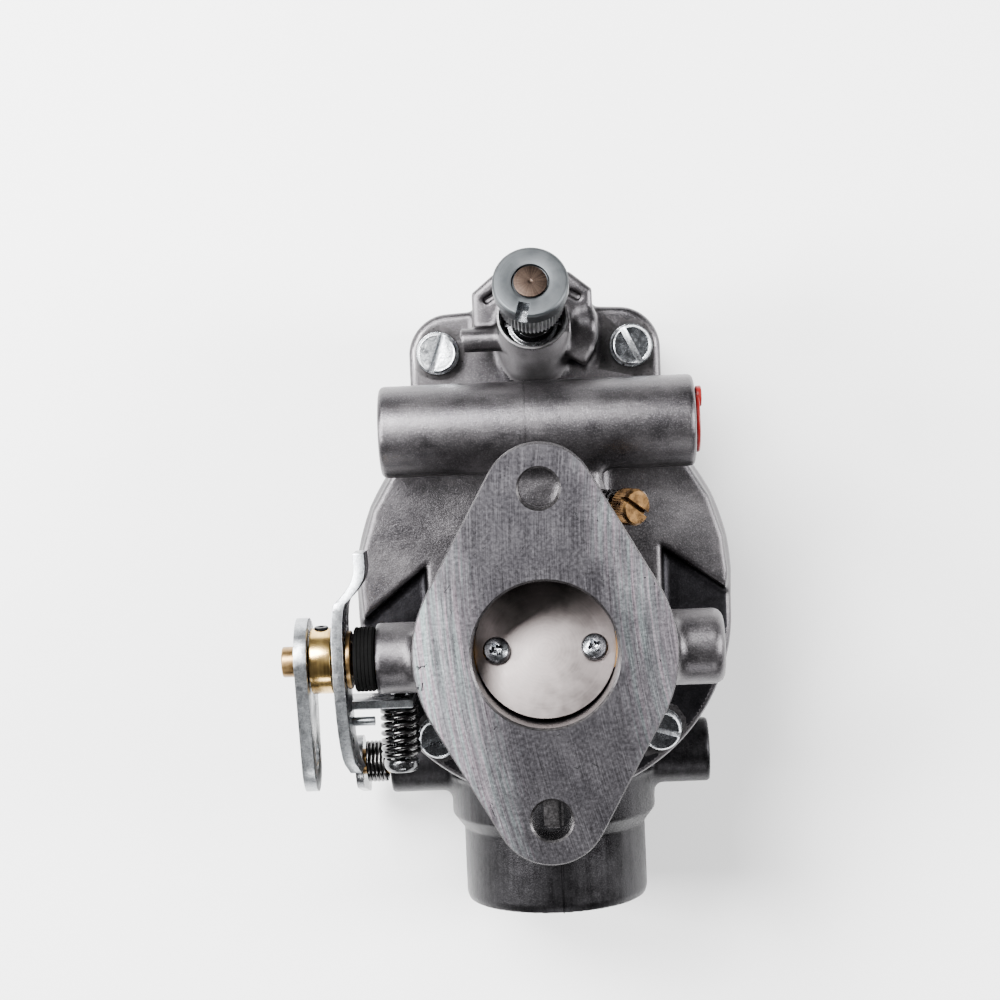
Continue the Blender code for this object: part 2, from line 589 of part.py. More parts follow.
def build_choke():
    ax = along_x(0, CHOKE_Y, HORN_Z)
    profile = [(0, -47.6), (2.6, -47.6), (3.0, -47.2), (CHOKE_SHAFT_R, -45.0), (CHOKE_SHAFT_R, 33.6), (0, 33.6)]
    shaft = lathe("choke_shaft", profile, BRASS, ax, 24)
    flat = 0.6
    cut(shaft, box("flat", -18.9, 18.9, CHOKE_Y - 6, CHOKE_Y + 6, HORN_Z + flat, HORN_Z + 6, BRASS))
    plate = choke_plate(flat + 0.3)
    for i, s in enumerate((-1, 1)):
        at = axis_frame((s * 8.5, CHOKE_Y, HORN_Z), (0, 0, 1))
        cut(plate, rod("hole", 1.7, -6, 6, ZINC, at, 16))
        cut(shaft, rod("hole", 1.7, -6, 6, ZINC, at, 16))
        z = flat + 0.3 + 1.2 + 0.3
        name = ("choke_plate_screw_left", "choke_plate_screw_right")[i]
        profile = [(0, -2.4), (1.4, -2.4), (1.4, z), (2.7, z), (2.7, z + 0.9), (2.1, z + 1.6), (0, z + 1.8)]
        screw = lathe(name, profile, ZINC, at, 20)
        cut(screw, box("slot", -4, 4, -0.3, 0.3, z + 1.0, z + 4, ZINC, at))
    c, s = math.cos(CHOKE_LEVER_DROP), math.sin(CHOKE_LEVER_DROP)
    pts = [(CHOKE_Y - a * c + b * s, HORN_Z - a * s - b * c) for a, b in lever_outline(6.4, 3.4, 14.0, 7)]
    lever = x_plate("choke_lever", pts, -47.0, -45.2, ZINC)
    cut(lever, rod("hole", CHOKE_SHAFT_R + GAP, -60, -30, ZINC, ax, 24))
    helix("choke_return_spring", 4.5, 0.5, 1.15, 4.2, along_x(-44.35, CHOKE_Y, HORN_Z))


def choke_plate(z0, tilt=math.radians(8), n=40):
    """Oval that fills the horn bore when turned to the closed angle."""
    thick, r = 1.2, HORN_BORE_R - 0.2
    verts = []
    for z in (z0, z0 + thick):
        for i in range(n):
            a = 2 * math.pi * i / n
            x, v = r * math.cos(a), r * math.sin(a)
            verts.append((x, (v + z * math.sin(tilt)) / math.cos(tilt) * 0.998, z))
    faces = [tuple(range(n - 1, -1, -1)), tuple(range(n, 2 * n))]
    for i in range(n):
        j = (i + 1) % n
        faces.append((i, j, n + j, n + i))
    return make("choke_plate", verts, faces, ALUMINIUM, Matrix.Translation((0, CHOKE_Y, HORN_Z)))


# ---------------------------------------------------------------- fuel parts

def build_fuel_parts():
    up = axis_frame((0, VALVE_Y, 0), (0, 0, 1))
    lift = Matrix.Translation(FLOAT_PIN)
    drop = lift @ Matrix.Rotation(FLOAT_DROP, 4, "X") @ lift.inverted()
    fall = (FLOAT_PIN.y - VALVE_Y) * FLOAT_DROP
    down = Matrix.Translation((0, 0, -fall)) @ up
    profile = [(1.9, -52.6), (4.4, -52.6), (4.7, -52.0), (4.7, -38.4), (1.2, -38.4), (1.2, -41.4), (1.9, -43.0)]
    lathe("inlet_valve_seat", profile, BRASS, up, 28)
    profile = [(0, -55.2), (1.0, -55.2), (1.5, -54.6), (1.5, -44.2), (0.5, -41.8), (0, -41.8)]
    lathe("inlet_needle_valve", profile, BRASS, down, 16)
    pin = along_x(0, FLOAT_PIN.y, FLOAT_PIN.z)
    rod("float_hinge_pin", 1.2, -12.2, 12.2, ZINC, pin, 14, 0.2)
    arm = box("float_arm", -7.8, 7.8, 30.0, 48.0, -56.6, -55.6, BRASS, drop)
    add(arm, rod("eye", 2.6, -7.8, 7.8, BRASS, pin, 18))
    cut(arm, rod("eye_hole", 1.5, -12, 12, BRASS, pin, 14))
    inner = arc(0, 0, 23.6, -28, 208, 30)
    outer = arc(0, 0, 34.0, 208, -28, 34)
    pts = inner + outer
    prism("float", [(pts, -73.5), (pts, -57.2)], FOAM, drop)
    profile = [(0, 26.5), (5.2, 26.5), (5.5, 27.2), (5.6, 34.5), (7.0, 34.6), (7.1, 35.2), (6.9, 35.9),
               (0, 35.9)]
    cap = lathe("fuel_inlet_cap", profile, RED, along_x(0, TUBE_Y, TUBE_Z), 30)
    add(cap, rod("pull_tab", 2.3, 34.9, 36.6, RED, along_x(0, TUBE_Y + 5.1, TUBE_Z + 2.5), 18, 0.3))
    lathe("venturi", [(15.9, -68.5), (15.9, -51.1), (14.9, -51.1), (12.4, -55.5), (11.5, -60), (12.6, -64.5),
                      (15.0, -68.5)], ALUMINIUM, None, 40)
    profile = [(1.2, -92.2), (2.6, -92.2), (2.6, -66), (1.9, -61.5), (1.2, -61.5)]
    lathe("main_nozzle", profile, BRASS, None, 20)
    ring("idle_tube", 0.6, 1.3, -64.5, -47.0, BRASS, axis_frame((10.75, 18.6, 0), (0, 0, 1)), 14)
    at = axis_frame((14, 40, 0), (0, 0, 1))
    profile = [(0, -86.5), (4.3, -86.5), (4.3, -94.8), (7.0, -94.8), (7.0, -99.0), (6.4, -99.6), (0, -99.6)]
    lathe("bowl_drain_plug", profile, BRASS, at, 8)


def build_cover_screws():
    names = ("upper_left", "upper_right", "lower_right", "lower_left")
    turns = (70, 116, -15, 20)
    for (x, y), name, deg in zip(cover_screw_places(), names, turns):
        at = axis_frame((x, y, COVER_TOP), (0, 0, 1))
        ring("lock_washer_" + name, 2.9, 4.8, 0.3, 1.4, ZINC, at, 28)
        s = lathe("cover_screw_" + name, [(0, -18.5), (2.0, -18.5), (2.4, -18.0), (2.4, 1.7), (4.35, 1.7),
                                          (4.35, 4.5), (4.0, 5.0), (0, 5.0)], ZINC, at, 30)
        slot = at @ Matrix.Rotation(math.radians(deg), 4, "Z")
        cut(s, box("slot", -6, 6, -0.6, 0.6, 3.5, 8, ZINC, slot))


def hang(name, origin, direction, pieces):
    """Parent moving pieces to an empty on their joint's axis."""
    axis = bpy.data.objects.new(name, None)
    frame = axis_frame(Vector(origin) * MM, direction)
    axis.matrix_world = frame
    bpy.context.scene.collection.objects.link(axis)
    for piece in pieces:
        ob = bpy.data.objects[piece]
        ob.parent = axis
        ob.matrix_parent_inverse = frame.inverted()


def finish():
    plate_screws = ["throttle_plate_screw_left", "throttle_plate_screw_right"]
    hang("throttle_axis", (0, SHAFT_Y, SHAFT_Z), (1, 0, 0),
         ["throttle_shaft", "throttle_plate", "throttle_control_lever", "throttle_stop_lever",
          "lever_hub_collar", "collar_set_screw", "lever_washer", "shaft_seal_retainer",
          "throttle_stop_spring", "throttle_stop_screw"] + plate_screws)
    hang("choke_axis", (0, CHOKE_Y, HORN_Z), (1, 0, 0),
         ["choke_shaft", "choke_plate", "choke_lever", "choke_plate_screw_left", "choke_plate_screw_right"])
    hang("float_axis", FLOAT_PIN, (1, 0, 0), ["float", "float_arm"])
    hang("inlet_valve_axis", (0, VALVE_Y, 0), (0, 0, 1), ["inlet_needle_valve"])
    hang("main_needle_axis", NEEDLE_FOOT, (0, math.sin(NEEDLE_TILT), math.cos(NEEDLE_TILT)),
         ["main_adjusting_knob", "main_adjusting_needle", "needle_seal_ring"])
    hang("idle_screw_axis", IDLE_HEAD, IDLE_DIR, ["idle_mixture_screw"])
    hang("fuel_cap_axis", (0, TUBE_Y, TUBE_Z), (1, 0, 0), ["fuel_inlet_cap"])
    for ob in bpy.context.scene.objects:
        if ob.type == "MESH":
            ob.data.shade_smooth()
            ob.data.set_sharp_from_angle(angle=math.radians(35))


build_throttle_body()
build_fuel_bowl()
build_gasket()
build_throttle()
build_levers()
build_idle_screw()
build_main_needle()
build_choke()
build_fuel_parts()
build_cover_screws()
finish()
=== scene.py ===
"""Updraft carburetor: cast bodies, throttle, choke, adjusting screws and levers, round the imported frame.

Lengths below are millimetres and are scaled when a mesh is made. The frame is the CAD's:
the origin is the centre of the throttle bore on the flange face, +Z out of that face,
+X along the throttle shaft, -Y towards the air inlet.
"""

import itertools
import math

import bmesh
import bpy
import numpy as np
from mathutils import Matrix, Vector


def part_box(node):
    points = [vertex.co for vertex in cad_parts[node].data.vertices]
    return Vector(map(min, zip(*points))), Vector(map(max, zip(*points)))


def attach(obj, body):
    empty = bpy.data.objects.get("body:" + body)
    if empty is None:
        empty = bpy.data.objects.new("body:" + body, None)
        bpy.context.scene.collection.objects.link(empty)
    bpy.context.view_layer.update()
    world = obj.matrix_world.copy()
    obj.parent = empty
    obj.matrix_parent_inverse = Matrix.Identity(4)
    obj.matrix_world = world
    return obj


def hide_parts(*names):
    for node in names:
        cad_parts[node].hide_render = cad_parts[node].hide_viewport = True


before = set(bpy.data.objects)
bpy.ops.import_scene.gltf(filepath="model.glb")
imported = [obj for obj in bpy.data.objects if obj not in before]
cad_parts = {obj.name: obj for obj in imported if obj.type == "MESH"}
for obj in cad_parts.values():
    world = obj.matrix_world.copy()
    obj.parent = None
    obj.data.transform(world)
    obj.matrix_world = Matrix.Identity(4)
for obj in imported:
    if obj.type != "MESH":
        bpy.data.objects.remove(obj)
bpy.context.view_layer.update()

MM = 0.001
PITCH = 0.5


def node_mm(name):
    lo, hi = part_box(name)
    return lo / MM, hi / MM


def centre(name):
    lo, hi = node_mm(name)
    return (lo + hi) / 2


# ------------------------------------------------------------ driving dimensions
SHAFT_Y, SHAFT_Z = centre("throttle_shaft").y, -15.0
SHAFT_R = 4.0
SHAFT_END_R = 3.25
ON_SHAFT_R = SHAFT_END_R + 0.05
SHAFT_X0, SHAFT_X1 = (corner.x for corner in node_mm("throttle_shaft"))
STUD_Y = 34.13
STUD_HOLE_R = 4.15
FLANGE_T = 9.0
BORE_R = 15.1
BARREL_R = 19.5
BOSS_L_X, BOSS_L_R = -35.6, 7.5
BOSS_R_X, BOSS_R_R = 37.6, 8.0
COVER_R = 42.0
COVER_DISCS_Y = (3.5, 12.0)
LUG_X, LUG_TOP_Y, LUG_CORNER = 28.2, 71.4, 8.5
COVER_TOP, PAD_TOP, COVER_BASE = -44.0, -41.2, -49.4
BOWL_TOP, BOWL_FLOOR, BOWL_BASE = -50.8, -88.0, -92.0
WALL = 4.0
SCREWS = [(-21.6, 63.3), (21.6, 63.3), (24.9, -22.9), (-24.9, -22.9)]
TUBE_Y, TUBE_Z, TUBE_R, TUBE_HALF = 46.3, -31.5, 10.0, 34.2
HORN_Z, HORN_R, HORN_BORE_R, HORN_END_Y = -75.0, 21.7, 18.6, -67.0
CHOKE_Y, CHOKE_SHAFT_R, CHOKE_BOSS_R, CHOKE_BOSS_X, CHOKE_BOSS_LEFT = -33.5, 3.2, 7.6, 37.6, 38.6
VALVE_Y = 41.5
NEEDLE_TILT = math.radians(21.6)
NEEDLE_FOOT = Vector((0.0, 64.2, -42.0))
NEEDLE_DIR = Vector((0, math.sin(NEEDLE_TILT), math.cos(NEEDLE_TILT)))
RIM_L, KNOB_FACE_L, KNOB_R = 16.2, 33.9, 8.0
IDLE_HEAD = Vector((20.6, 28.6, -15.5))
IDLE_DIR = Vector((0.66, -0.04, 0.75)).normalized()
CHOKE_LEVER_DROP = math.radians(64)
REST_TILT = math.radians(20)
LEVER_REACH, LEVER_DROP = 21.5, 0.18
CLOSED_TILT = math.radians(14)


# ------------------------------------------------------------ frames and outlines

def axis_frame(origin, direction, up=(0, 0, 1)):
    """Frame in millimetres with its local Z along direction."""
    z = Vector(direction).normalized()
    u = Vector(up)
    if abs(z.dot(u)) > 0.95:
        u = Vector((0, 1, 0))
    x = u.cross(z).normalized()
    y = z.cross(x)
    m = Matrix((x, y, z)).transposed().to_4x4()
    m.translation = Vector(origin)
    return m


def along_x(x0, y, z):
    return axis_frame((x0, y, z), (1, 0, 0))


def upright(x, y, z=0):
    return axis_frame((x, y, z), (0, 0, 1))


def spun(m, degrees):
    """The frame m turned about its own local Z."""
    return m @ Matrix.Rotation(math.radians(degrees), 4, "Z")


UP = Matrix.Identity(4)
YZ = Matrix(((0, 0, 1, 0), (1, 0, 0, 0), (0, 1, 0, 0), (0, 0, 0, 1)))
SHAFT = along_x(0, SHAFT_Y, SHAFT_Z)
CHOKE = along_x(0, CHOKE_Y, HORN_Z)
NEEDLE = axis_frame(NEEDLE_FOOT, NEEDLE_DIR)
IDLE = axis_frame(IDLE_HEAD, IDLE_DIR)
HORN = axis_frame((0, 0, HORN_Z), (0, -1, 0))
DRAIN = upright(14, 40)


def arc(cx, cy, r, a0, a1, n):
    return [(cx + r * math.cos(math.radians(a0 + (a1 - a0) * i / n)),
             cy + r * math.sin(math.radians(a0 + (a1 - a0) * i / n))) for i in range(n + 1)]


def rectangle(x0, x1, y0, y1):
    return [(x0, y0), (x1, y0), (x1, y1), (x0, y1)]


def flange_outline(grow=0.0, n=28):
    r_mid, r_end, d = 27.6 + grow, 12.1 + grow, 31.6
    t = math.degrees(math.asin((r_mid - r_end) / d))
    return (arc(0, 0, r_mid, -t, t, n) + arc(0, d, r_end, t, 180 - t, n)
            + arc(0, 0, r_mid, 180 - t, 180 + t, n) + arc(0, -d, r_end, 180 + t, 360 - t, n))


# ------------------------------------------------------------ clay: smooth solids on a distance grid

CORNERS = np.array(list(itertools.product((0, 1), repeat=3)))


class Clay:
    """Signed distance grid. Solids are added and cut with a fillet, then skinned to a mesh."""

    def __init__(self, lo, hi, pitch):
        self.pitch = pitch
        self.lo = np.array(lo, np.float64)
        n = np.ceil((np.array(hi) - self.lo) / pitch).astype(int) + 1
        self.axes = [(self.lo[i] + pitch * np.arange(n[i])).astype(np.float32) for i in range(3)]
        self.f = np.full(n, 30.0, np.float32)

    def window(self, lo, hi, margin):
        cuts, coords = [], []
        for i in range(3):
            a = max(0, int((lo[i] - margin - self.lo[i]) / self.pitch))
            b = min(len(self.axes[i]), int((hi[i] + margin - self.lo[i]) / self.pitch) + 2)
            cuts.append(slice(a, b))
            shape = [1, 1, 1]
            shape[i] = -1
            coords.append(self.axes[i][a:b].reshape(shape))
        return tuple(cuts), coords

    def merge(self, solid, k, sign):
        lo, hi, distance = solid
        cuts, (x, y, z) = self.window(lo, hi, k + 2.5)
        a = self.f[cuts] * sign
        b = distance(x, y, z)
        if k > 0:
            h = np.clip(0.5 + 0.5 * (b - a) / k, 0, 1)
            out = b + (a - b) * h - k * h * (1 - h)
        else:
            out = np.minimum(a, b)
        self.f[cuts] = (out * sign).astype(np.float32)

    def add(self, solid, k=1.0):
        self.merge(solid, k, 1)

    def cut(self, solid, k=0.6):
        self.merge(solid, k, -1)

    def sample(self, p):
        g = (p - self.lo) / self.pitch
        i = np.clip(np.floor(g).astype(int), 0, np.array(self.f.shape) - 2)
        t = g - i
        out = np.zeros(len(p))
        for d in CORNERS:
            w = np.prod(np.where(d == 1, t, 1 - t), axis=1)
            j = i + d
            out += w * self.f[j[:, 0], j[:, 1], j[:, 2]]
        return out

    def untangle(self):
        """Fill the rare grid faces with a checkerboard of signs, so the skin is a closed manifold."""
        f = self.f
        for _ in range(30):
            found = 0
            for u, v in ((0, 1), (0, 2), (1, 2)):
                def part(i, j):
                    cuts = [slice(None)] * 3
                    cuts[u] = slice(i, f.shape[u] - 1 + i)
                    cuts[v] = slice(j, f.shape[v] - 1 + j)
                    return f[tuple(cuts)]
                a, b, c, d = part(0, 0), part(1, 0), part(1, 1), part(0, 1)
                checker = ((a < 0) == (c < 0)) & ((b < 0) == (d < 0)) & ((a < 0) != (b < 0))
                found += int(checker.sum())
                for q in (a, b, c, d):
                    q[checker & (q >= 0)] = -0.01
            if not found:
                return

    def skin(self):
        """Surface net: one vertex per crossed cell, pulled onto the zero surface."""
        self.untangle()
        f = self.f
        n = np.array(f.shape) - 1
        corner = [f[a:a + n[0], b:b + n[1], d:d + n[2]] for a, b, d in CORNERS]
        count = sum((c < 0).astype(np.int8) for c in corner)
        active = (count > 0) & (count < 8)
        index = np.full(n, -1, np.int64)
        cells = np.argwhere(active)
        index[active] = np.arange(len(cells))
        value = np.stack([c[active] for c in corner], axis=1)
        total = np.zeros((len(cells), 3))
        hits = np.zeros(len(cells))
        for a in range(8):
            for bit in (1, 2, 4):
                b = a | bit
                if a == b:
                    continue
                va, vb = value[:, a], value[:, b]
                crossed = (va < 0) != (vb < 0)
                t = np.where(crossed, va / np.where(crossed, va - vb, 1), 0)[:, None]
                total += crossed[:, None] * (CORNERS[a] + (CORNERS[b] - CORNERS[a]) * t)
                hits += crossed
        p = self.lo + (cells + total / hits[:, None]) * self.pitch
        e = self.pitch * 0.5
        for _ in range(2):
            slopes = [(self.sample(p + e * u) - self.sample(p - e * u)) / (2 * e) for u in np.eye(3)]
            g = np.stack(slopes, axis=1)
            step = (self.sample(p) / np.maximum((g * g).sum(1), 0.2))[:, None] * g
            p -= np.clip(step, -e, e)
        quads = []
        inside = f < 0
        for axis in range(3):
            u, v = (axis + 1) % 3, (axis + 2) % 3
            a = np.take(inside, range(0, f.shape[axis] - 1), axis)
            b = np.take(inside, range(1, f.shape[axis]), axis)
            edges = np.argwhere(a != b)
            edges = edges[(edges[:, u] > 0) & (edges[:, v] > 0) & (edges[:, u] < n[u]) & (edges[:, v] < n[v])]
            flip = a[tuple(edges.T)]
            around = []
            for du, dv in ((-1, -1), (0, -1), (0, 0), (-1, 0)):
                c = edges.copy()
                c[:, u] += du
                c[:, v] += dv
                around.append(index[tuple(c.T)])
            q = np.stack(around, axis=1)
            q[~flip] = q[~flip][:, ::-1]
            quads.append(q)
        return p, np.concatenate(quads)


def local(m, x, y, z):
    """Coordinates in the frame m of grid points."""
    r, o = m.to_3x3(), m.translation
    x, y, z = x - o.x, y - o.y, z - o.z
    return [r[0][i] * x + r[1][i] * y + r[2][i] * z for i in range(3)]


def span(m, lo, hi):
    """Lowest and highest world corner of a box given in the frame m."""
    pts = [m @ Vector(p) for p in itertools.product(*zip(lo, hi))]
    return [min(p[i] for p in pts) for i in range(3)], [max(p[i] for p in pts) for i in range(3)]


def soften(d2, dz, r):
    """Exact distance of an extrusion from its side distance and end distance, edges rounded by r."""
    a, b = d2 + r, dz + r
    return np.minimum(np.maximum(a, b), 0) + np.hypot(np.maximum(a, 0), np.maximum(b, 0)) - r


def slab(z, z0, z1):
    return np.abs(z - (z0 + z1) / 2) - (z1 - z0) / 2


def s_cyl(m, r, z0, z1, edge=0.5):
    def distance(x, y, z):
        u, v, w = local(m, x, y, z)
        return soften(np.hypot(u, v) - r, slab(w, z0, z1), edge)
    return (*span(m, (-r, -r, z0), (r, r, z1)), distance)


def s_box(m, lo, hi, edge=0.8):
    c = [(a + b) / 2 for a, b in zip(lo, hi)]
    h = [(b - a) / 2 for a, b in zip(lo, hi)]

    def distance(x, y, z):
        q = [np.abs(v - c[i]) - h[i] + edge for i, v in enumerate(local(m, x, y, z))]
        out = np.sqrt(sum(np.maximum(v, 0) ** 2 for v in q))
        return out + np.minimum(np.maximum(np.maximum(q[0], q[1]), q[2]), 0) - edge
    return (*span(m, lo, hi), distance)


def polygon(px, py, pts):
    """Signed distance to a closed polygon, negative inside."""
    px, py = np.broadcast_arrays(px, py)
    best = np.full(px.shape, 1e9)
    inside = np.zeros(px.shape, bool)
    for (ax, ay), (bx, by) in zip(pts, pts[1:] + pts[:1]):
        ex, ey = bx - ax, by - ay
        length = ex * ex + ey * ey
        if length < 1e-12:
            continue
        wx, wy = px - ax, py - ay
        t = np.clip((wx * ex + wy * ey) / length, 0, 1)
        best = np.minimum(best, (wx - ex * t) ** 2 + (wy - ey * t) ** 2)
        if ey:
            inside ^= ((ay > py) != (by > py)) & (px < ex * (py - ay) / ey + ax)
    d = np.sqrt(best)
    return np.where(inside, -d, d)


def s_prism(pts, z0, z1, edge=0.8, draft=0.0, grow=0.0):
    """Outline in X and Y between two heights; draft narrows it per mm of height above z0."""
    def distance(x, y, z):
        d2 = polygon(x, y, pts) - grow
        return soften(d2 + draft * (z - z0), slab(z, z0, z1), edge)
    xs, ys = [p[0] for p in pts], [p[1] for p in pts]
    return [min(xs) - grow, min(ys) - grow, z0], [max(xs) + grow, max(ys) + grow, z1], distance


def s_turn(m, profile):
    """Solid of revolution from a closed (r, z) outline that starts and ends on the axis."""
    mirrored = profile + [(-r, z) for r, z in reversed(profile) if r > 1e-6]
    r = max(p[0] for p in profile)
    zs = [p[1] for p in profile]

    def distance(x, y, z):
        u, v, w = local(m, x, y, z)
        return polygon(np.hypot(u, v), w, mirrored)
    return (*span(m, (-r, -r, min(zs)), (r, r, max(zs))), distance)


def body_distance(x, y):
    """Distance to the outline shared by cover, gasket and bowl."""
    c0, c1 = COVER_DISCS_Y
    t = np.clip(y, c0, c1)
    disc = np.hypot(x, y - t) - COVER_R
    crown = 1.3 * (1 - (x / LUG_X) ** 2)
    qx = np.abs(x) - LUG_X + LUG_CORNER
    qy = y - (LUG_TOP_Y + crown) + LUG_CORNER
    lug = np.minimum(np.maximum(qx, qy), 0) + np.hypot(np.maximum(qx, 0), np.maximum(qy, 0)) - LUG_CORNER
    lug = np.maximum(lug, 20 - y)
    return np.minimum(disc, lug)


def s_body(z0, z1, edge=1.0, grow=0.0, taper=0.0):
    def distance(x, y, z):
        d2 = body_distance(x, y) - grow
        return soften(d2 + taper * (z1 - z), slab(z, z0, z1), edge)
    return [-COVER_R, COVER_DISCS_Y[0] - COVER_R, z0], [COVER_R, LUG_TOP_Y + 1.4, z1], distance


# ------------------------------------------------------------ meshes

def place(ob, m=UP):
    ob.matrix_world = Matrix.Translation(m.translation * MM) @ m.to_3x3().to_4x4()
    return ob


def new_object(name, mesh, m=UP):
    ob = bpy.data.objects.new(name, mesh)
    bpy.context.scene.collection.objects.link(ob)
    return place(ob, m)


def make(name, verts, faces, m=UP):
    mesh = bpy.data.meshes.new(name)
    mesh.from_pydata([(x * MM, y * MM, z * MM) for x, y, z in verts], [], faces)
    bm = bmesh.new()
    bm.from_mesh(mesh)
    bmesh.ops.recalc_face_normals(bm, faces=bm.faces)
    bm.to_mesh(mesh)
    bm.free()
    return new_object(name, mesh, m)


def from_clay(name, clay, keep):
    """Skin of the clay, thinned to a share of its faces."""
    p, quads = clay.skin()
    mesh = bpy.data.meshes.new(name)
    mesh.vertices.add(len(p))
    mesh.vertices.foreach_set("co", (p * MM).ravel())
    mesh.loops.add(quads.size)
    mesh.loops.foreach_set("vertex_index", quads.ravel())
    mesh.polygons.add(len(quads))
    mesh.polygons.foreach_set("loop_start", np.arange(0, quads.size, 4))
    mesh.update(calc_edges=True)
    ob = new_object(name, mesh)
    mod = ob.modifiers.new("thin", "DECIMATE")
    mod.ratio = keep
    return bake(ob)


def bake(ob):
    graph = bpy.context.evaluated_depsgraph_get()
    mesh = bpy.data.meshes.new_from_object(ob.evaluated_get(graph))
    ob.modifiers.clear()
    old = ob.data
    ob.data = mesh
    bpy.data.meshes.remove(old)
    return ob


def walls(rows, n):
    """Quads up a stack of closed loops of n points."""
    return [(k * n + i, k * n + (i + 1) % n, (k + 1) * n + (i + 1) % n, (k + 1) * n + i)
            for k in range(rows) for i in range(n)]


def caps(rows, n):
    """The two end faces of the same stack."""
    return [tuple(range(n - 1, -1, -1)), tuple(range(rows * n, rows * n + n))]


def rounded(profile, r, n=3):
    """The (r, z) outline with each inner corner turned into a small arc."""
    if r <= 0:
        return profile
    out = [profile[0]]
    for a, b, c in zip(profile, profile[1:], profile[2:]):
        va, vc = Vector(a) - Vector(b), Vector(c) - Vector(b)
        cutback = min(r, va.length * 0.45, vc.length * 0.45)
        if va.length < 1e-6 or vc.length < 1e-6 or abs(va.angle(vc) - math.pi) < 0.1:
            out.append(b)
            continue
        p, q = Vector(b) + va.normalized() * cutback, Vector(b) + vc.normalized() * cutback
        for i in range(n + 1):
            t = i / n
            out.append(tuple(p * (1 - t) ** 2 + Vector(b) * 2 * t * (1 - t) + q * t * t))
    out.append(profile[-1])
    return out


def lathe(name, profile, m=UP, seg=72, edge=0.0, ribs=0, depth=0.0, ribbed=None):
    """Solid of revolution about local Z. ribs flute the radius between the two heights of ribbed."""
    ring_like = profile[0][0] > 1e-6
    if ring_like and edge:
        profile = rounded(profile[-1:] + profile + profile[:1], edge)[1:-1]
    else:
        profile = rounded(profile, edge)
    if ribs:
        seg = ribs * 6
    verts, rings = [], []
    for r, z in profile:
        if r < 1e-6:
            rings.append([len(verts)])
            verts.append((0, 0, z))
            continue
        rings.append(list(range(len(verts), len(verts) + seg)))
        cutting = ribs and ribbed[0] <= z <= ribbed[1] and r > ribbed[2]
        for i in range(seg):
            a = 2 * math.pi * i / seg
            rr = r - (depth * abs(math.cos(ribs * a / 2)) ** 2 if cutting else 0)
            verts.append((rr * math.cos(a), rr * math.sin(a), z))
    pairs = list(zip(rings, rings[1:]))
    if ring_like:
        pairs.append((rings[-1], rings[0]))
    faces = []
    for a, b in pairs:
        for i in range(seg):
            j = (i + 1) % seg
            if len(a) == 1 and len(b) > 1:
                faces.append((a[0], b[j], b[i]))
            elif len(b) == 1 and len(a) > 1:
                faces.append((a[i], a[j], b[0]))
            elif len(a) > 1:
                faces.append((a[i], a[j], b[j], b[i]))
    return make(name, verts, faces, m)


def rod(name, r, z0, z1, m=UP, seg=64, edge=0.0):
    return lathe(name, [(0, z0), (r, z0), (r, z1), (0, z1)], m, seg, edge)


def ring(name, r0, r1, z0, z1, m, seg, edge):
    return lathe(name, [(r0, z0), (r1, z0), (r1, z1), (r0, z1)], m, seg, edge)


def threaded(name, r, depth, pitch, z0, z1, m=UP, seg=40, inside=False, wall=0.8):
    """Screw thread as a swept height field; inside makes a nut-like sleeve."""
    rows = max(4, int((z1 - z0) / pitch * 8))
    verts, faces = [], walls(rows, seg)
    for k in range(rows + 1):
        z = z0 + (z1 - z0) * k / rows
        fade = min(1.0, k / 4, (rows - k) / 4)
        for i in range(seg):
            t = ((z - z0) / pitch - i / seg) % 1.0
            ridge = 1 - abs(2 * t - 1)
            rr = r - depth * ridge * fade if inside else r - depth * (1 - ridge * fade)
            a = 2 * math.pi * i / seg
            verts.append((rr * math.cos(a), rr * math.sin(a), z))
    if inside:
        base = len(verts)
        for z in (z0, z1):
            for i in range(seg):
                a = 2 * math.pi * i / seg
                verts.append(((r + wall) * math.cos(a), (r + wall) * math.sin(a), z))
        top = rows * seg
        for i in range(seg):
            j = (i + 1) % seg
            faces.append((i, base + i, base + j, j))
            faces.append((top + i, top + j, base + seg + j, base + seg + i))
            faces.append((base + i, base + seg + i, base + seg + j, base + j))
    else:
        faces += caps(rows, seg)
    return make(name, verts, faces, m)


def prism(name, pts, z0, z1, m=UP, bevel=0.0, top=None):
    """Outline between two heights; top is an outline of as many points for the upper end."""
    n = len(pts)
    verts = [(x, y, z0) for x, y in pts] + [(x, y, z1) for x, y in (top or pts)]
    ob = make(name, verts, walls(1, n) + caps(1, n), m)
    return bevelled(ob, bevel) if bevel else ob


def bevelled(ob, width, segments=3, angle=40):
    mod = ob.modifiers.new("edge", "BEVEL")
    mod.width = width * MM
    mod.segments = segments
    mod.limit_method = "ANGLE"
    mod.angle_limit = math.radians(angle)
    mod.miter_outer = "MITER_ARC"
    return bake(ob)


def box(name, x0, x1, y0, y1, z0, z1, m=UP, bevel=0.0):
    return prism(name, rectangle(x0, x1, y0, y1), z0, z1, m, bevel)


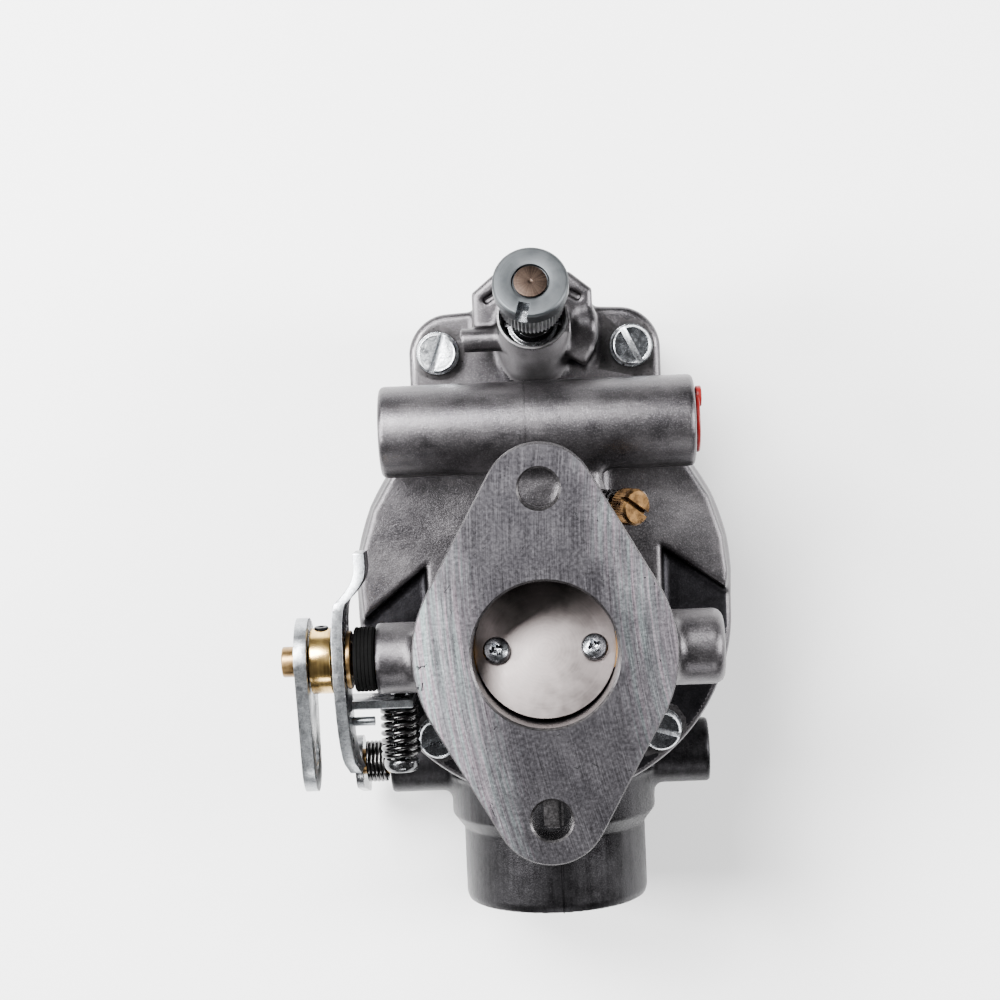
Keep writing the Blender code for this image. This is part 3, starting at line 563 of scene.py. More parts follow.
def coil(name, r, wire, z0, z1, turns, m=UP, dead=1.0, seg=36, sides=12):
    """Compression spring with closed end coils."""
    n = int(seg * turns)
    pitch_dead = 2 * wire * 1.02
    live = turns - 2 * dead
    live_pitch = (z1 - z0 - 2 * wire - 2 * dead * pitch_dead) / live

    def height(t):
        if t < dead:
            return pitch_dead * t
        if t < turns - dead:
            return pitch_dead * dead + live_pitch * (t - dead)
        return pitch_dead * dead + live_pitch * live + pitch_dead * (t - turns + dead)

    verts = []
    for i in range(n + 1):
        t = turns * i / n
        z = z0 + wire + 0.5 * (height(min(t + 0.12, turns)) + height(max(t - 0.12, 0)))
        a = 2 * math.pi * t
        for k in range(sides):
            b = 2 * math.pi * k / sides
            rr = r + wire * math.cos(b)
            verts.append((rr * math.cos(a), rr * math.sin(a), z + wire * math.sin(b)))
    ends = [face[::-1] for face in caps(n, sides)]
    return make(name, verts, walls(n, sides) + ends, m)


def slot(m, half_width, z0, z1, reach=6, degrees=0):
    """Cutter for a screwdriver slot across local Z."""
    return box("slot", -reach, reach, -half_width, half_width, z0, z1, spun(m, degrees) if degrees else m)


def join(name, parts):
    """One object from several, in the frame of the first."""
    base = parts[0]
    bm = bmesh.new()
    bm.from_mesh(base.data)
    for p in parts[1:]:
        other = p.data.copy()
        other.transform(base.matrix_world.inverted() @ p.matrix_world)
        bm.from_mesh(other)
        bpy.data.meshes.remove(other)
        bpy.data.objects.remove(p, do_unlink=True)
    bm.to_mesh(base.data)
    bm.free()
    base.name = name
    return base


def carve(ob, cutters, how="DIFFERENCE"):
    """One boolean with tools that don't touch each other, skinned in triangles."""
    tool = join("tool", cutters) if len(cutters) > 1 else cutters[0]
    mod = ob.modifiers.new("carve", "BOOLEAN")
    mod.operation = how
    mod.solver = "MANIFOLD"
    mod.object = tool
    bake(ob)
    bm = bmesh.new()
    bm.from_mesh(ob.data)
    bmesh.ops.triangulate(bm, faces=bm.faces)
    bm.to_mesh(ob.data)
    bm.free()
    bpy.data.objects.remove(tool, do_unlink=True)
    return ob


def show(ob, body, mats, slot, *stands_for, angle=32):
    """Shading, materials, the body it rides on and the nodes it stands for."""
    ob.data.shade_smooth()
    ob.data.set_sharp_from_angle(angle=math.radians(angle))
    mats = mats if isinstance(mats, (list, tuple)) else [mats]
    ob.data.materials.clear()
    for m in mats:
        ob.data.materials.append(m)
    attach(ob, body)
    if stands_for:
        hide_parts(*stands_for)
    return ob


def paint(ob, index, test):
    """Give a material index to the faces whose centre (mm, world) and normal pass a test."""
    m = ob.matrix_world
    r = m.to_3x3()
    for p in ob.data.polygons:
        if test(m @ p.center / MM, r @ p.normal):
            p.material_index = index


# ------------------------------------------------------------ materials

class Finish:
    """Node material with short helpers. Coordinates are the object's own, in metres."""

    def __init__(self, name, color, rough, metal=1.0):
        self.mat = bpy.data.materials.new(name)
        self.mat.use_nodes = True
        self.tree = self.mat.node_tree
        self.bsdf = self.tree.nodes["Principled BSDF"]
        self.bsdf.inputs["Base Color"].default_value = (*color, 1)
        self.bsdf.inputs["Roughness"].default_value = rough
        self.bsdf.inputs["Metallic"].default_value = metal
        self.mat.diffuse_color = (*color, 1)
        self.coords = self.add("TexCoord").outputs["Object"]

    def add(self, kind, inputs=None, **attrs):
        node = self.tree.nodes.new("ShaderNode" + kind)
        for k, v in attrs.items():
            setattr(node, k, v)
        for k, v in (inputs or {}).items():
            if isinstance(v, bpy.types.NodeSocket):
                self.tree.links.new(v, node.inputs[k])
            else:
                node.inputs[k].default_value = v
        return node

    def noise(self, size, detail=2.0, rough=0.5, vector=None, distortion=0.0):
        """Noise with features about size millimetres across."""
        return self.add("TexNoise", {"Vector": vector or self.coords, "Scale": 1 / (size * MM),
                                     "Detail": detail, "Roughness": rough,
                                     "Distortion": distortion}).outputs["Fac"]

    def stretched(self, size, vector=None):
        """Coordinates divided by a feature size per axis, in millimetres."""
        return self.add("Mapping", {"Vector": vector or self.coords,
                                    "Scale": [1 / (s * MM) for s in size]}).outputs["Vector"]

    def streaks(self, size, detail=3.0, vector=None):
        return self.add("TexNoise", {"Vector": self.stretched(size, vector), "Scale": 1.0, "Detail": detail,
                                     "Roughness": 0.6}).outputs["Fac"]

    def math(self, op, a, b=0.0, clamp=False):
        return self.add("Math", {0: a, 1: b}, operation=op, use_clamp=clamp).outputs[0]

    def fit(self, value, a, b, lo, hi):
        return self.add("MapRange", {"Value": value, "From Min": a, "From Max": b,
                                     "To Min": lo, "To Max": hi}).outputs["Result"]

    def mix(self, fac, a, b, blend="MIX"):
        node = self.add("Mix", data_type="RGBA", blend_type=blend)
        for socket, v in ((node.inputs["Factor"], fac), (node.inputs[6], a), (node.inputs[7], b)):
            if isinstance(v, bpy.types.NodeSocket):
                self.tree.links.new(v, socket)
            else:
                socket.default_value = (*v, 1) if isinstance(v, tuple) else v
        return node.outputs[2]

    def radius(self, x, y):
        return self.math("SQRT", self.math("ADD", self.math("MULTIPLY", x, x), self.math("MULTIPLY", y, y)))

    def polar(self):
        """Own radius, angle and height about local Z, as a vector."""
        x, y, z = self.add("SeparateXYZ", {0: self.coords}).outputs
        a = self.math("MULTIPLY", self.math("ARCTAN2", y, x), 0.004)
        return self.add("CombineXYZ", {0: self.radius(x, y), 1: a, 2: z}).outputs[0]

    def bump(self, height, depth, strength=1.0, over=None):
        """depth is in millimetres."""
        inputs = {"Height": height, "Distance": depth * MM, "Strength": strength}
        if over is not None:
            inputs["Normal"] = over
        return self.add("Bump", inputs).outputs["Normal"]

    def set(self, **sockets):
        for k, v in sockets.items():
            self.tree.links.new(v, self.bsdf.inputs[k.replace("_", " ")])
        return self.mat


def ao_painted_shade(f, color, reach=6.0, deep=0.25):
    """The colour darkened by ambient occlusion where the surface is shut in: painted shade in corners and
    recesses.
    """
    open_sky = f.add("AmbientOcclusion", {"Distance": reach * MM}, samples=8).outputs["AO"]
    k = f.fit(open_sky, 0.3, 0.95, deep, 1.0)
    grey = f.add("CombineXYZ", {0: k, 1: k, 2: k}).outputs[0]
    return f.mix(1.0, color, grey, "MULTIPLY")


def cast_metal(name="cast aluminium", light=(0.105, 0.099, 0.103), dark=(0.052, 0.049, 0.053),
               draw=(14, 9, 2), glint=(0.30, 0.29, 0.30), polish=(0.27, 0.5)):
    """Rough casting skin; draw is the size of its drawn streaks per axis, in millimetres."""
    f = Finish(name, light, 0.4)
    patch = f.noise(11, 4, 0.62)
    grain = f.noise(0.32, 4, 0.72)
    drawn = f.streaks(draw, 4)
    tone = f.math("ADD", f.math("MULTIPLY", patch, 0.55), f.math("MULTIPLY", drawn, 0.45))
    color = f.mix(f.fit(tone, 0.38, 0.62, 0, 1), dark, light)
    color = f.mix(f.fit(grain, 0.5, 0.75, 0, 0.4), color, glint)
    # painted shade: the casting colour darkened in corners and recesses by ambient occlusion
    color = ao_painted_shade(f, color, 4.5, 0.38)
    rough = f.fit(f.math("ADD", patch, f.math("MULTIPLY", grain, 0.6)), 0.5, 1.1, *polish)
    lumps = f.bump(f.noise(2.4, 3, 0.6), 0.12, 0.6)
    fine = f.bump(grain, 0.05, 1.0, lumps)
    return f.set(Base_Color=color, Roughness=rough, Normal=fine)


def milled_face(name="milled aluminium"):
    """Face-mill arcs of large radius, struck from a centre far out on +X. A wedge on the left and a band on
    the right get bright pink and cyan streaks: a painted reflection of the lamps, laid over the milling
    streaks.
    """
    f = Finish(name, (0.3, 0.29, 0.31), 0.36)
    shifted = f.add("VectorMath", {0: f.coords, 1: (-0.19, -0.02, 0)}, operation="ADD").outputs[0]
    x, y, _ = f.add("SeparateXYZ", {0: shifted}).outputs
    sweep = f.add("CombineXYZ", {0: f.radius(x, y), 1: f.math("MULTIPLY", y, 0.02)}).outputs[0]
    broad = f.streaks((1.5, 0.8, 1), 3, sweep)
    tint = f.streaks((0.9, 0.7, 1), 2, sweep)
    fine = f.streaks((0.2, 0.25, 1), 4, sweep)
    hair = f.streaks((0.09, 0.1, 1), 2, sweep)
    cloud = f.noise(9, 4, 0.65)
    mottle = f.noise(0.7, 4, 0.7)
    x, y, _ = f.add("SeparateXYZ", {0: f.coords}).outputs
    slant = f.math("SUBTRACT", x, f.math("MULTIPLY", y, -0.18))
    across = f.math("ADD", slant, f.math("MULTIPLY", cloud, 0.014))
    # left and right mark where the painted reflection falls on the face
    left = f.fit(across, -0.017, -0.004, 1, 0)
    right = f.fit(across, 0.020, 0.032, 0, 0.5)
    base = f.mix(f.fit(cloud, 0.35, 0.65, 0, 1), (0.088, 0.083, 0.093), (0.145, 0.138, 0.15))
    base = f.mix(f.fit(mottle, 0.45, 0.75, 0, 0.25), base, (0.24, 0.235, 0.25))
    sheen_color = f.mix(f.fit(tint, 0.42, 0.6, 0, 1), (0.82, 0.66, 0.76), (0.68, 0.82, 0.82))
    sheen_color = f.mix(f.fit(broad, 0.44, 0.56, 0, 0.75), sheen_color, (0.30, 0.29, 0.32))
    painted_sheen = f.math("ADD", left, right, True)
    color = f.mix(painted_sheen, base, sheen_color)
    # the hairlines are drawn stronger inside the painted sheen
    hairline = f.math("MULTIPLY", f.fit(fine, 0.5, 0.75, 0, 1), f.fit(painted_sheen, 0, 1, 0.06, 0.35))
    color = f.mix(hairline, color, (0.45, 0.44, 0.46))
    nick_at = f.add("TexVoronoi", {"Vector": f.stretched((6.2, 8.5, 5)), "Scale": 1.0},
                    feature="DISTANCE_TO_EDGE").outputs["Distance"]
    nick = f.math("MULTIPLY", f.math("LESS_THAN", nick_at, 0.008),
                  f.math("GREATER_THAN", f.noise(2.2, 2), 0.64))
    color = f.mix(nick, color, (0.07, 0.07, 0.075))
    rough = f.fit(f.math("ADD", fine, mottle), 0.7, 1.3, 0.26, 0.46)
    n = f.bump(broad, 0.01, 0.45)
    n = f.bump(mottle, 0.008, 0.5, n)
    n = f.bump(fine, 0.0022, 0.5, n)
    n = f.bump(hair, 0.0015, 0.4, n)
    n = f.bump(f.math("MULTIPLY", nick, -1.0), 0.05, 0.8, n)
    return f.set(Base_Color=color, Roughness=rough, Normal=n)


def bored(name="bored aluminium", color=(0.20, 0.19, 0.195)):
    """Machined bores and faces with tool rings."""
    f = Finish(name, color, 0.33)
    rings = f.streaks((6, 6, 0.16), 3)
    grain = f.noise(0.5, 3)
    c = f.mix(f.fit(rings, 0.35, 0.65, 0, 1), tuple(v * 0.5 for v in color), color)
    # painted shade: the bored colour darkened in corners and recesses by ambient occlusion
    c = ao_painted_shade(f, c, 9.0, 0.2)
    n = f.bump(rings, 0.01, 0.8)
    n = f.bump(grain, 0.012, 0.6, n)
    return f.set(Base_Color=c, Roughness=f.fit(grain, 0.3, 0.7, 0.26, 0.42), Normal=n)


def turned(name, color, dark, rough=(0.2, 0.34), ring=0.12, tool=0.006, cloud_size=2.2):
    """Lathe-turned metal: rings about the part's own axis."""
    f = Finish(name, color, rough[0])
    p = f.polar()
    rings = f.streaks((ring, 900, ring), 3, p)
    cloud = f.noise(cloud_size, 3, 0.6)
    c = f.mix(f.fit(cloud, 0.35, 0.7, 0, 1), dark, color)
    c = f.mix(f.fit(rings, 0.45, 0.7, 0, 0.35), c, tuple(min(1, v * 1.25) for v in color))
    n = f.bump(rings, tool, 0.9)
    n = f.bump(f.noise(0.3, 3), 0.006, 0.6, n)
    return f.set(Base_Color=c, Roughness=f.fit(cloud, 0.3, 0.7, *rough), Normal=n)


def plated(name, color=(0.70, 0.72, 0.75), dark=(0.42, 0.44, 0.48), rough=(0.16, 0.34), size=1.1, depth=0.03):
    """Bright zinc over rolled or pressed steel."""
    f = Finish(name, color, rough[0])
    cloud = f.noise(size * 3, 3, 0.6)
    spots = f.noise(size, 3, 0.65, distortion=0.4)
    speck = f.noise(0.18, 3)
    c = f.mix(f.fit(spots, 0.35, 0.68, 0, 1), dark, color)
    c = f.mix(f.fit(speck, 0.45, 0.7, 0, 0.3), c, (0.85, 0.87, 0.9))
    n = f.bump(spots, depth, 0.8)
    n = f.bump(speck, 0.01, 0.8, n)
    return f.set(Base_Color=c, Roughness=f.fit(cloud, 0.3, 0.7, *rough), Normal=n)


def dull(name, color, rough, metal=0.0, size=0.5, depth=0.02, shade=0.7, gloss=0.5):
    f = Finish(name, color, rough, metal)
    f.bsdf.inputs["Specular IOR Level"].default_value = gloss
    n1 = f.noise(size, 4, 0.6)
    n2 = f.noise(size * 8, 2)
    c = f.mix(f.fit(n2, 0.3, 0.7, 0, 1), tuple(v * shade for v in color), color)
    return f.set(Base_Color=c, Roughness=f.fit(n1, 0.3, 0.7, rough * 0.85, min(1, rough * 1.15)),
                 Normal=f.bump(n1, depth, 0.7))


def brushed_disc(name, color, dark):
    """Radial strokes about local Z."""
    f = Finish(name, color, 0.35)
    p = f.polar()
    rays = f.streaks((30, 0.00022 / MM, 50), 4, p)
    rings = f.streaks((0.35, 900, 50), 2, p)
    c = f.mix(f.fit(rays, 0.3, 0.7, 0, 1), dark, color)
    c = f.mix(f.fit(rings, 0.4, 0.7, 0, 0.4), c, dark)
    return f.set(Base_Color=c, Roughness=f.fit(rays, 0.3, 0.7, 0.28, 0.45), Normal=f.bump(rays, 0.006, 0.8))


CAST = cast_metal()
# Darker copy of the casting for the low pockets of the cover: painted shade in the recesses
CAST_POCKET_SHADE = cast_metal("cast aluminium pocket", (0.026, 0.025, 0.028), (0.012, 0.0115, 0.013), (9, 9, 3),
                       (0.05, 0.05, 0.053))
CAST_BOWL = cast_metal("cast aluminium bowl", (0.028, 0.027, 0.029), (0.009, 0.0086, 0.0095), (1.4, 14, 1.4),
                       (0.07, 0.068, 0.07))
# Lighter, rougher copy of the casting for the front wall of the needle boss: the roughness is its finish, the
# lighter colour is painted light on a wall that the knob and tube shade
CAST_WALL_LIT = cast_metal("cast aluminium wall painted lit", (0.25, 0.24, 0.248), (0.16, 0.153, 0.16), (3, 9, 9),
                       (0.40, 0.39, 0.40), (0.6, 0.8))
MILLED = milled_face()
BORED = bored()
THREAD = bored("thread aluminium", (0.5, 0.49, 0.5))
BRASS = turned("brass", (0.86, 0.58, 0.22), (0.20, 0.11, 0.035), (0.12, 0.24), 0.8, 0.004, 7)
BRASS_DULL = turned("brass dull", (0.36, 0.23, 0.10), (0.13, 0.08, 0.035), (0.25, 0.42))
BRASS_AGED = turned("brass aged", (0.19, 0.105, 0.04), (0.055, 0.03, 0.014), (0.25, 0.42))
ZINC = plated("zinc plated steel", (0.52, 0.54, 0.56), (0.17, 0.18, 0.195), (0.14, 0.3), 0.5, 0.03)
# Lighter and darker copies of the zinc plating: painted light and painted shade, given screw by screw and to
# the head rims
ZINC_PAINTED_LIT = plated("zinc plated steel painted lit", (0.88, 0.90, 0.92),
                     (0.30, 0.315, 0.335), (0.24, 0.44), 0.5, 0.08)
ZINC_PAINTED_SHADE = plated("zinc plated steel painted shade", (0.20, 0.21, 0.225),
                   (0.06, 0.063, 0.07), (0.16, 0.34), 0.45, 0.02)
# Lit and shaded copies of the lever zinc: the edges take the lit copy as painted light, the flat faces the
# shaded copy as painted shade
ZINC_LEVER_LIT = plated("zinc plated lever painted lit", (0.42, 0.437, 0.455),
                      (0.21, 0.22, 0.232), (0.28, 0.42), 0.45, 0.03)
ZINC_LEVER_SHADE = plated("zinc plated lever face painted shade", (0.17, 0.178, 0.188),
                     (0.07, 0.074, 0.08), (0.22, 0.38), 1.2, 0.02)
STEEL_DARK = plated("steel oiled", (0.14, 0.14, 0.145), (0.03, 0.03, 0.032), (0.14, 0.3), 0.5, 0.02)
KNOB_ZINC = turned("zinc turned", (0.076, 0.081, 0.085),
                   (0.05, 0.054, 0.057), (0.38, 0.5), 0.6, 0.004, 5)
KNURL_ZINC = turned("zinc knurled", (0.30, 0.305, 0.31), (0.12, 0.124, 0.128), (0.42, 0.58))
SPRING = turned("spring steel", (0.13, 0.127, 0.127), (0.025, 0.025, 0.025), (0.12, 0.24))
BRONZE = brushed_disc("bronze", (0.058, 0.041, 0.032), (0.018, 0.012, 0.0095))
PLATE = turned("plate aluminium", (0.235, 0.207, 0.201),
               (0.165, 0.145, 0.14), (0.42, 0.56), 0.8, 0.003, 3)
RUBBER = dull("black rubber", (0.003, 0.003, 0.003), 0.85, gloss=0.05)
FIBRE = dull("gasket fibre", (0.03, 0.027, 0.024), 0.85)
RED = dull("red plastic", (0.20, 0.003, 0.003), 0.4, 0.0, 0.8, 0.01, 0.8, 0.3)
FOAM = dull("float plastic", (0.03, 0.028, 0.026), 0.55)
BLACK_OXIDE = dull("black oxide", (0.02, 0.02, 0.022), 0.4, 1.0)


# ------------------------------------------------------------ castings

# an outline past the object on every side, for cutters that plane a whole face
ALL_ROUND = rectangle(-60, 60, -80, 90)
CONTACT = 0.02


def build_throttle_body():
    c = Clay((-45, -46, -54), (45, 84, 4), PITCH)
    c.add(s_body(COVER_BASE - 1.5, COVER_TOP, 1.6), 0)
    pad = [(-26, -13), (26, -13), (26.4, 18.6), (40.6, 8.6), (41, 12), (40.2, 20), (37.4, 29), (32, 38),
           (-32, 38), (-37.4, 29), (-40.2, 20), (-41, 12), (-40.6, 4.6), (-26.0, 16.2)]
    c.add(s_prism(pad, -47, PAD_TOP, 1.0, 0.12, 0.8), 1.6)
    c.add(s_turn(UP, [(0, -48), (25.0, -48), (24.8, -43), (22.3, -38.5), (20.2, -34), (BARREL_R, -29),
                      (BARREL_R, -4), (0, -4)]), 3.0)
    bar = along_x(0, TUBE_Y, TUBE_Z)
    c.add(s_cyl(bar, TUBE_R, -TUBE_HALF, TUBE_HALF, 1.2), 2.0)
    c.add(s_box(UP, (-32.3, 39.2, -46), (32.3, 53.6, -34), 1.5), 1.6)
    c.add(s_cyl(SHAFT, BOSS_L_R, BOSS_L_X, -10, 0.7), 2.4)
    c.add(s_cyl(SHAFT, BOSS_R_R, 10, BOSS_R_X, 2.4), 2.4)
    for s in (-1, 1):
        x0, x1 = sorted((s * 18, s * 33))
        c.add(s_box(UP, (x0, SHAFT_Y - 2.4, -46), (x1, SHAFT_Y + 2.4, SHAFT_Z), 1.2), 2.2)
    c.add(s_box(UP, (-35.2, -7.6, -32), (-28.5, -3.2, SHAFT_Z - 2), 0.8), 1.4)
    block = [(-13.0, 68.5), (-5, 63.0), (5, 63.0), (11.0, 59.5), (13.0, 62.5), (13.0, 75.8),
             (8.2, 79.7), (-8.2, 79.7), (-13.0, 75.8)]
    c.add(s_prism(block, -49.0, -34.0, 1.2, 0.0, 0.2), 1.6)
    c.add(s_cyl(NEEDLE, 7.7, -8, RIM_L + 1.2, 0.4), 1.8)
    for s in (-1, 1):
        at = spun(Matrix.Translation((s * 9.2, 74.8, 0)), -31 * s)
        c.cut(s_box(at, (-1.6, -0.7, -35.3), (1.6, 0.7, -30), 0.3), 0.4)
    c.add(s_cyl(along_x(11.8, 67.5, -36), 3.4, -2.6, 2.2, 1.4), 2.0)
    c.add(s_cyl(along_x(0, 65.6, -33.4), 2.6, -16, -2, 0.6), 1.2)
    c.add(s_box(UP, (-6.5, 14, -46), (13.5, 38.5, -26.5), 1.8), 3.0)
    c.add(s_cyl(IDLE, 5.2, -26, -14.2, 0.6), 2.2)
    c.add(s_prism(flange_outline(-0.15), -FLANGE_T, 1.4, 0.7, 0.012), 2.6)
    ob = from_clay("throttle_body_casting", c, 0.35)

    face = prism("face", ALL_ROUND, -0.4, 20)
    carve(face, [prism("chamfer", flange_outline(0.2), -0.8, 0, UP, 0, flange_outline(-0.55))])
    carve(ob, [face])
    carve(ob, [prism("base", ALL_ROUND, -70, COVER_BASE)])
    tools = [lathe("bore", [(0, -60), (BORE_R, -60), (BORE_R, -0.5), (BORE_R + 1.0, 0.5), (0, 0.5)], UP, 128)]
    for s in (-1, 1):
        tools.append(lathe("stud", [(0, -12), (STUD_HOLE_R, -12), (STUD_HOLE_R, -0.45),
                                    (STUD_HOLE_R + 0.95, 0.5), (0, 0.5)], upright(0, s * STUD_Y), 64))
    for x, y in SCREWS:
        tools.append(lathe("seat", [(0, -60), (2.8, -60), (2.8, COVER_TOP), (6.0, COVER_TOP), (6.4, -38),
                                    (6.4, -22), (0, -22)], upright(x, y), 64))
    tools.append(lathe("cup", [(0, -20), (3.0, -20), (3.0, 6.2), (6.95, 6.2), (6.95, RIM_L - 0.5),
                               (7.25, RIM_L), (12, RIM_L), (12, 40), (0, 40)], NEEDLE, 72))
    tools.append(rod("idle_hole", 2.2, -40, 2, IDLE, 32))
    carve(ob, tools)
    tools = [rod("shaft_hole", SHAFT_R + 0.3, -40, 34.2, SHAFT, 48),
             lathe("fuel_hole", [(0, -7), (6.0, -7), (6.0, 33.6), (6.6, 34.4), (0, 34.4)], bar, 48)]
    carve(ob, tools)
    carve(ob, [rod("seat_hole", 5.0, -60, -33, upright(0, VALVE_Y), 40)])

    def flat_top(p, n):
        return n.z > 0.98 and abs(p.z) < 0.05

    def machined(p, n):
        q = NEEDLE.inverted() @ p
        in_cup = math.hypot(q.x, q.y) < 7.3 and 5.5 < q.z < RIM_L - 0.6
        in_bore = math.hypot(p.x, p.y) < BORE_R + 1.1
        in_stud = math.hypot(p.x, abs(p.y) - STUD_Y) < STUD_HOLE_R + 1.5 and p.z > -9.5
        near = min(math.hypot(p.x - x, p.y - y) for x, y in SCREWS)
        in_seat = p.z < COVER_TOP + CONTACT and (near < 2.9 or near < 6.05 and n.z > 0.9)
        on_joint = abs(p.z - COVER_BASE) < CONTACT
        return (in_cup or in_bore or in_stud or in_seat or on_joint) and not flat_top(p, n)

    def cup_rim(p, n):
        q = NEEDLE.inverted() @ p
        return math.hypot(q.x, q.y) < 9 and RIM_L - 0.6 <= q.z

    # faces of the low pockets beside the pad, which take the painted-shade copy of the casting
    def pocket(p, n):
        low_side = p.y < 20 and p.z < PAD_TOP - 1.2 and body_distance(p.x, p.y) < -1.2
        return low_side and p.z > COVER_TOP - 0.4 and math.hypot(p.x, p.y) > 23

    # the boss's front wall, which takes the painted-light copy of the casting
    def boss_wall(p, n):
        q = NEEDLE.inverted() @ p
        front = 54 < p.y < 66.5 and p.z > COVER_TOP + 0.3
        return front and math.hypot(q.x, q.y) < 8.3 and q.z < RIM_L - 0.3

    mats = [CAST, MILLED, BORED, THREAD, CAST_POCKET_SHADE, CAST_WALL_LIT]
    show(ob, "castings", mats, "cast_aluminium", "throttle_body")
    for mat, test in ((CAST_WALL_LIT, boss_wall), (CAST_POCKET_SHADE, pocket), (BORED, machined), (THREAD, cup_rim),
                      (MILLED, flat_top)):
        paint(ob, mats.index(mat), test)
    thread = threaded("needle_cup_thread", 6.93, 0.45, 1.15, 7.0, RIM_L - 0.6, NEEDLE, 72, True, 0.15)
    show(thread, "castings", THREAD, "cast_aluminium")
    low, high = TUBE_R - 1.2, TUBE_R + 0.12
    seam = lathe("tube_parting_line", [(low, -2.8), (high, -2.65), (high, -2.45), (low, -2.3)], bar, 96)
    show(seam, "castings", CAST, "cast_aluminium")


def build_fuel_bowl():
    c = Clay((-45, -70, -102), (45, 78, -46), PITCH)
    c.add(s_body(BOWL_BASE, BOWL_TOP + 2.0, 2.6, -0.3, 0.02), 0)
    horn = [(0, -19.6), (8, -19.3), (15, -16.5), (19.3, -11), (20.6, -4), (20.6, 33), (24.3, 36.5),
            (24.3, 46.2), (HORN_R, 49.6), (HORN_R, 65.4), (HORN_R - 0.5, -HORN_END_Y), (0, -HORN_END_Y)]
    c.add(s_turn(HORN, horn), 2.4)
    for s, end in ((-1, CHOKE_BOSS_LEFT), (1, CHOKE_BOSS_X)):
        c.add(s_cyl(axis_frame((0, CHOKE_Y, HORN_Z), (s, 0, 0)), CHOKE_BOSS_R, 12, end, 0.8), 2.4)
    c.add(s_cyl(DRAIN, 8, BOWL_BASE - 2.5, -86, 0.6), 1.6)
    c.add(s_cyl(UP, 5.0, -95.5, -84, 0.5), 1.0)
    c.cut(s_body(BOWL_FLOOR, -40, 2.0, -WALL), 0.5)
    c.add(s_turn(HORN, horn[:7] + [(0, 36.5)]), 1.6)
    c.add(s_cyl(UP, 19.5, HORN_Z, BOWL_TOP + 2, 0.5), 1.6)
    for x, y in SCREWS:
        c.add(s_cyl(upright(x, y), 5.7, BOWL_BASE + 4.6, BOWL_TOP + 2, 0.5), 1.2)
    c.add(s_cyl(NEEDLE, 5.6, -55.2, -44.5, 0.5), 1.2)
    ob = from_clay("fuel_bowl_casting", c, 0.3)
    carve(ob, [prism("top", ALL_ROUND, BOWL_TOP, -30)])
    carve(ob, [lathe("air", [(0, -14.5), (8, -14), (13.5, -11.5), (16.6, -6), (HORN_BORE_R, 2),
                             (HORN_BORE_R, 65.5), (HORN_BORE_R + 1.2, 68), (0, 68)], HORN, 96)])
    carve(ob, [rod("throat", 16.3, HORN_Z + 2.3, -40, UP, 96)])
    tools = [rod("screw_bore", 2.7, -64, -40, upright(x, y), 32) for x, y in SCREWS]
    tools.append(rod("choke_hole", CHOKE_SHAFT_R + 0.3, -45, 34.5, CHOKE, 40))
    tools.append(rod("drain_hole", 4.6, -100, -80, DRAIN, 40))
    tools.append(rod("jet_hole", 3.6, -52.0, -40, NEEDLE, 32))
    carve(ob, tools)
    ridge = [(-l, HORN_Z + r + 0.1) for r, l in horn[5:11]]
    seam = prism("horn_parting_line", ridge + [(y, z - 1.5) for y, z in reversed(ridge)], 1.35, 1.65, YZ)
    show(seam, "castings", CAST_BOWL, "cast_aluminium")
    show(ob, "castings", [CAST_BOWL, BORED], "cast_aluminium", "fuel_bowl")
    paint(ob, 1, lambda p, n: abs(p.z - BOWL_TOP) < CONTACT
          or math.hypot(p.x, p.z - HORN_Z) < HORN_BORE_R + 0.1 and p.y < 2)


# ------------------------------------------------------------ throttle

def plate_frame():
    return axis_frame((0, SHAFT_Y, SHAFT_Z), (0, math.sin(REST_TILT), math.cos(REST_TILT)))


def phillips(name, r, z, depth, m, body, node, stem):
    """Pan head with a cross recess on a lock washer."""
    head = lathe(name, [(0, -stem), (1.5, -stem), (1.5, z), (r, z), (r, z + 0.75), (r * 0.86, z + 1.45),
                        (r * 0.5, z + 1.85), (0, z + 2.0)], m, 64, 0.18)
    top = z + 2.1
    arms = []
    for k in (0, 90):
        wide, low = rectangle(-1.85, 1.85, -0.42, 0.42), rectangle(-0.75, 0.75, -0.26, 0.26)
        arms.append(prism("arm", low, top - depth, top + 0.3, spun(m, k + 25), 0, wide))
    cone = [(0, top - depth - 0.3), (0.95, top - 0.3), (1.0, top + 0.3), (0, top + 0.3)]
    for cutter in arms + [lathe("cone", cone, m, 24)]:
        carve(head, [cutter])
    bevelled(head, 0.07, 2, 35)
    return show(head, body, ZINC_PAINTED_SHADE, "zinc_steel", node)


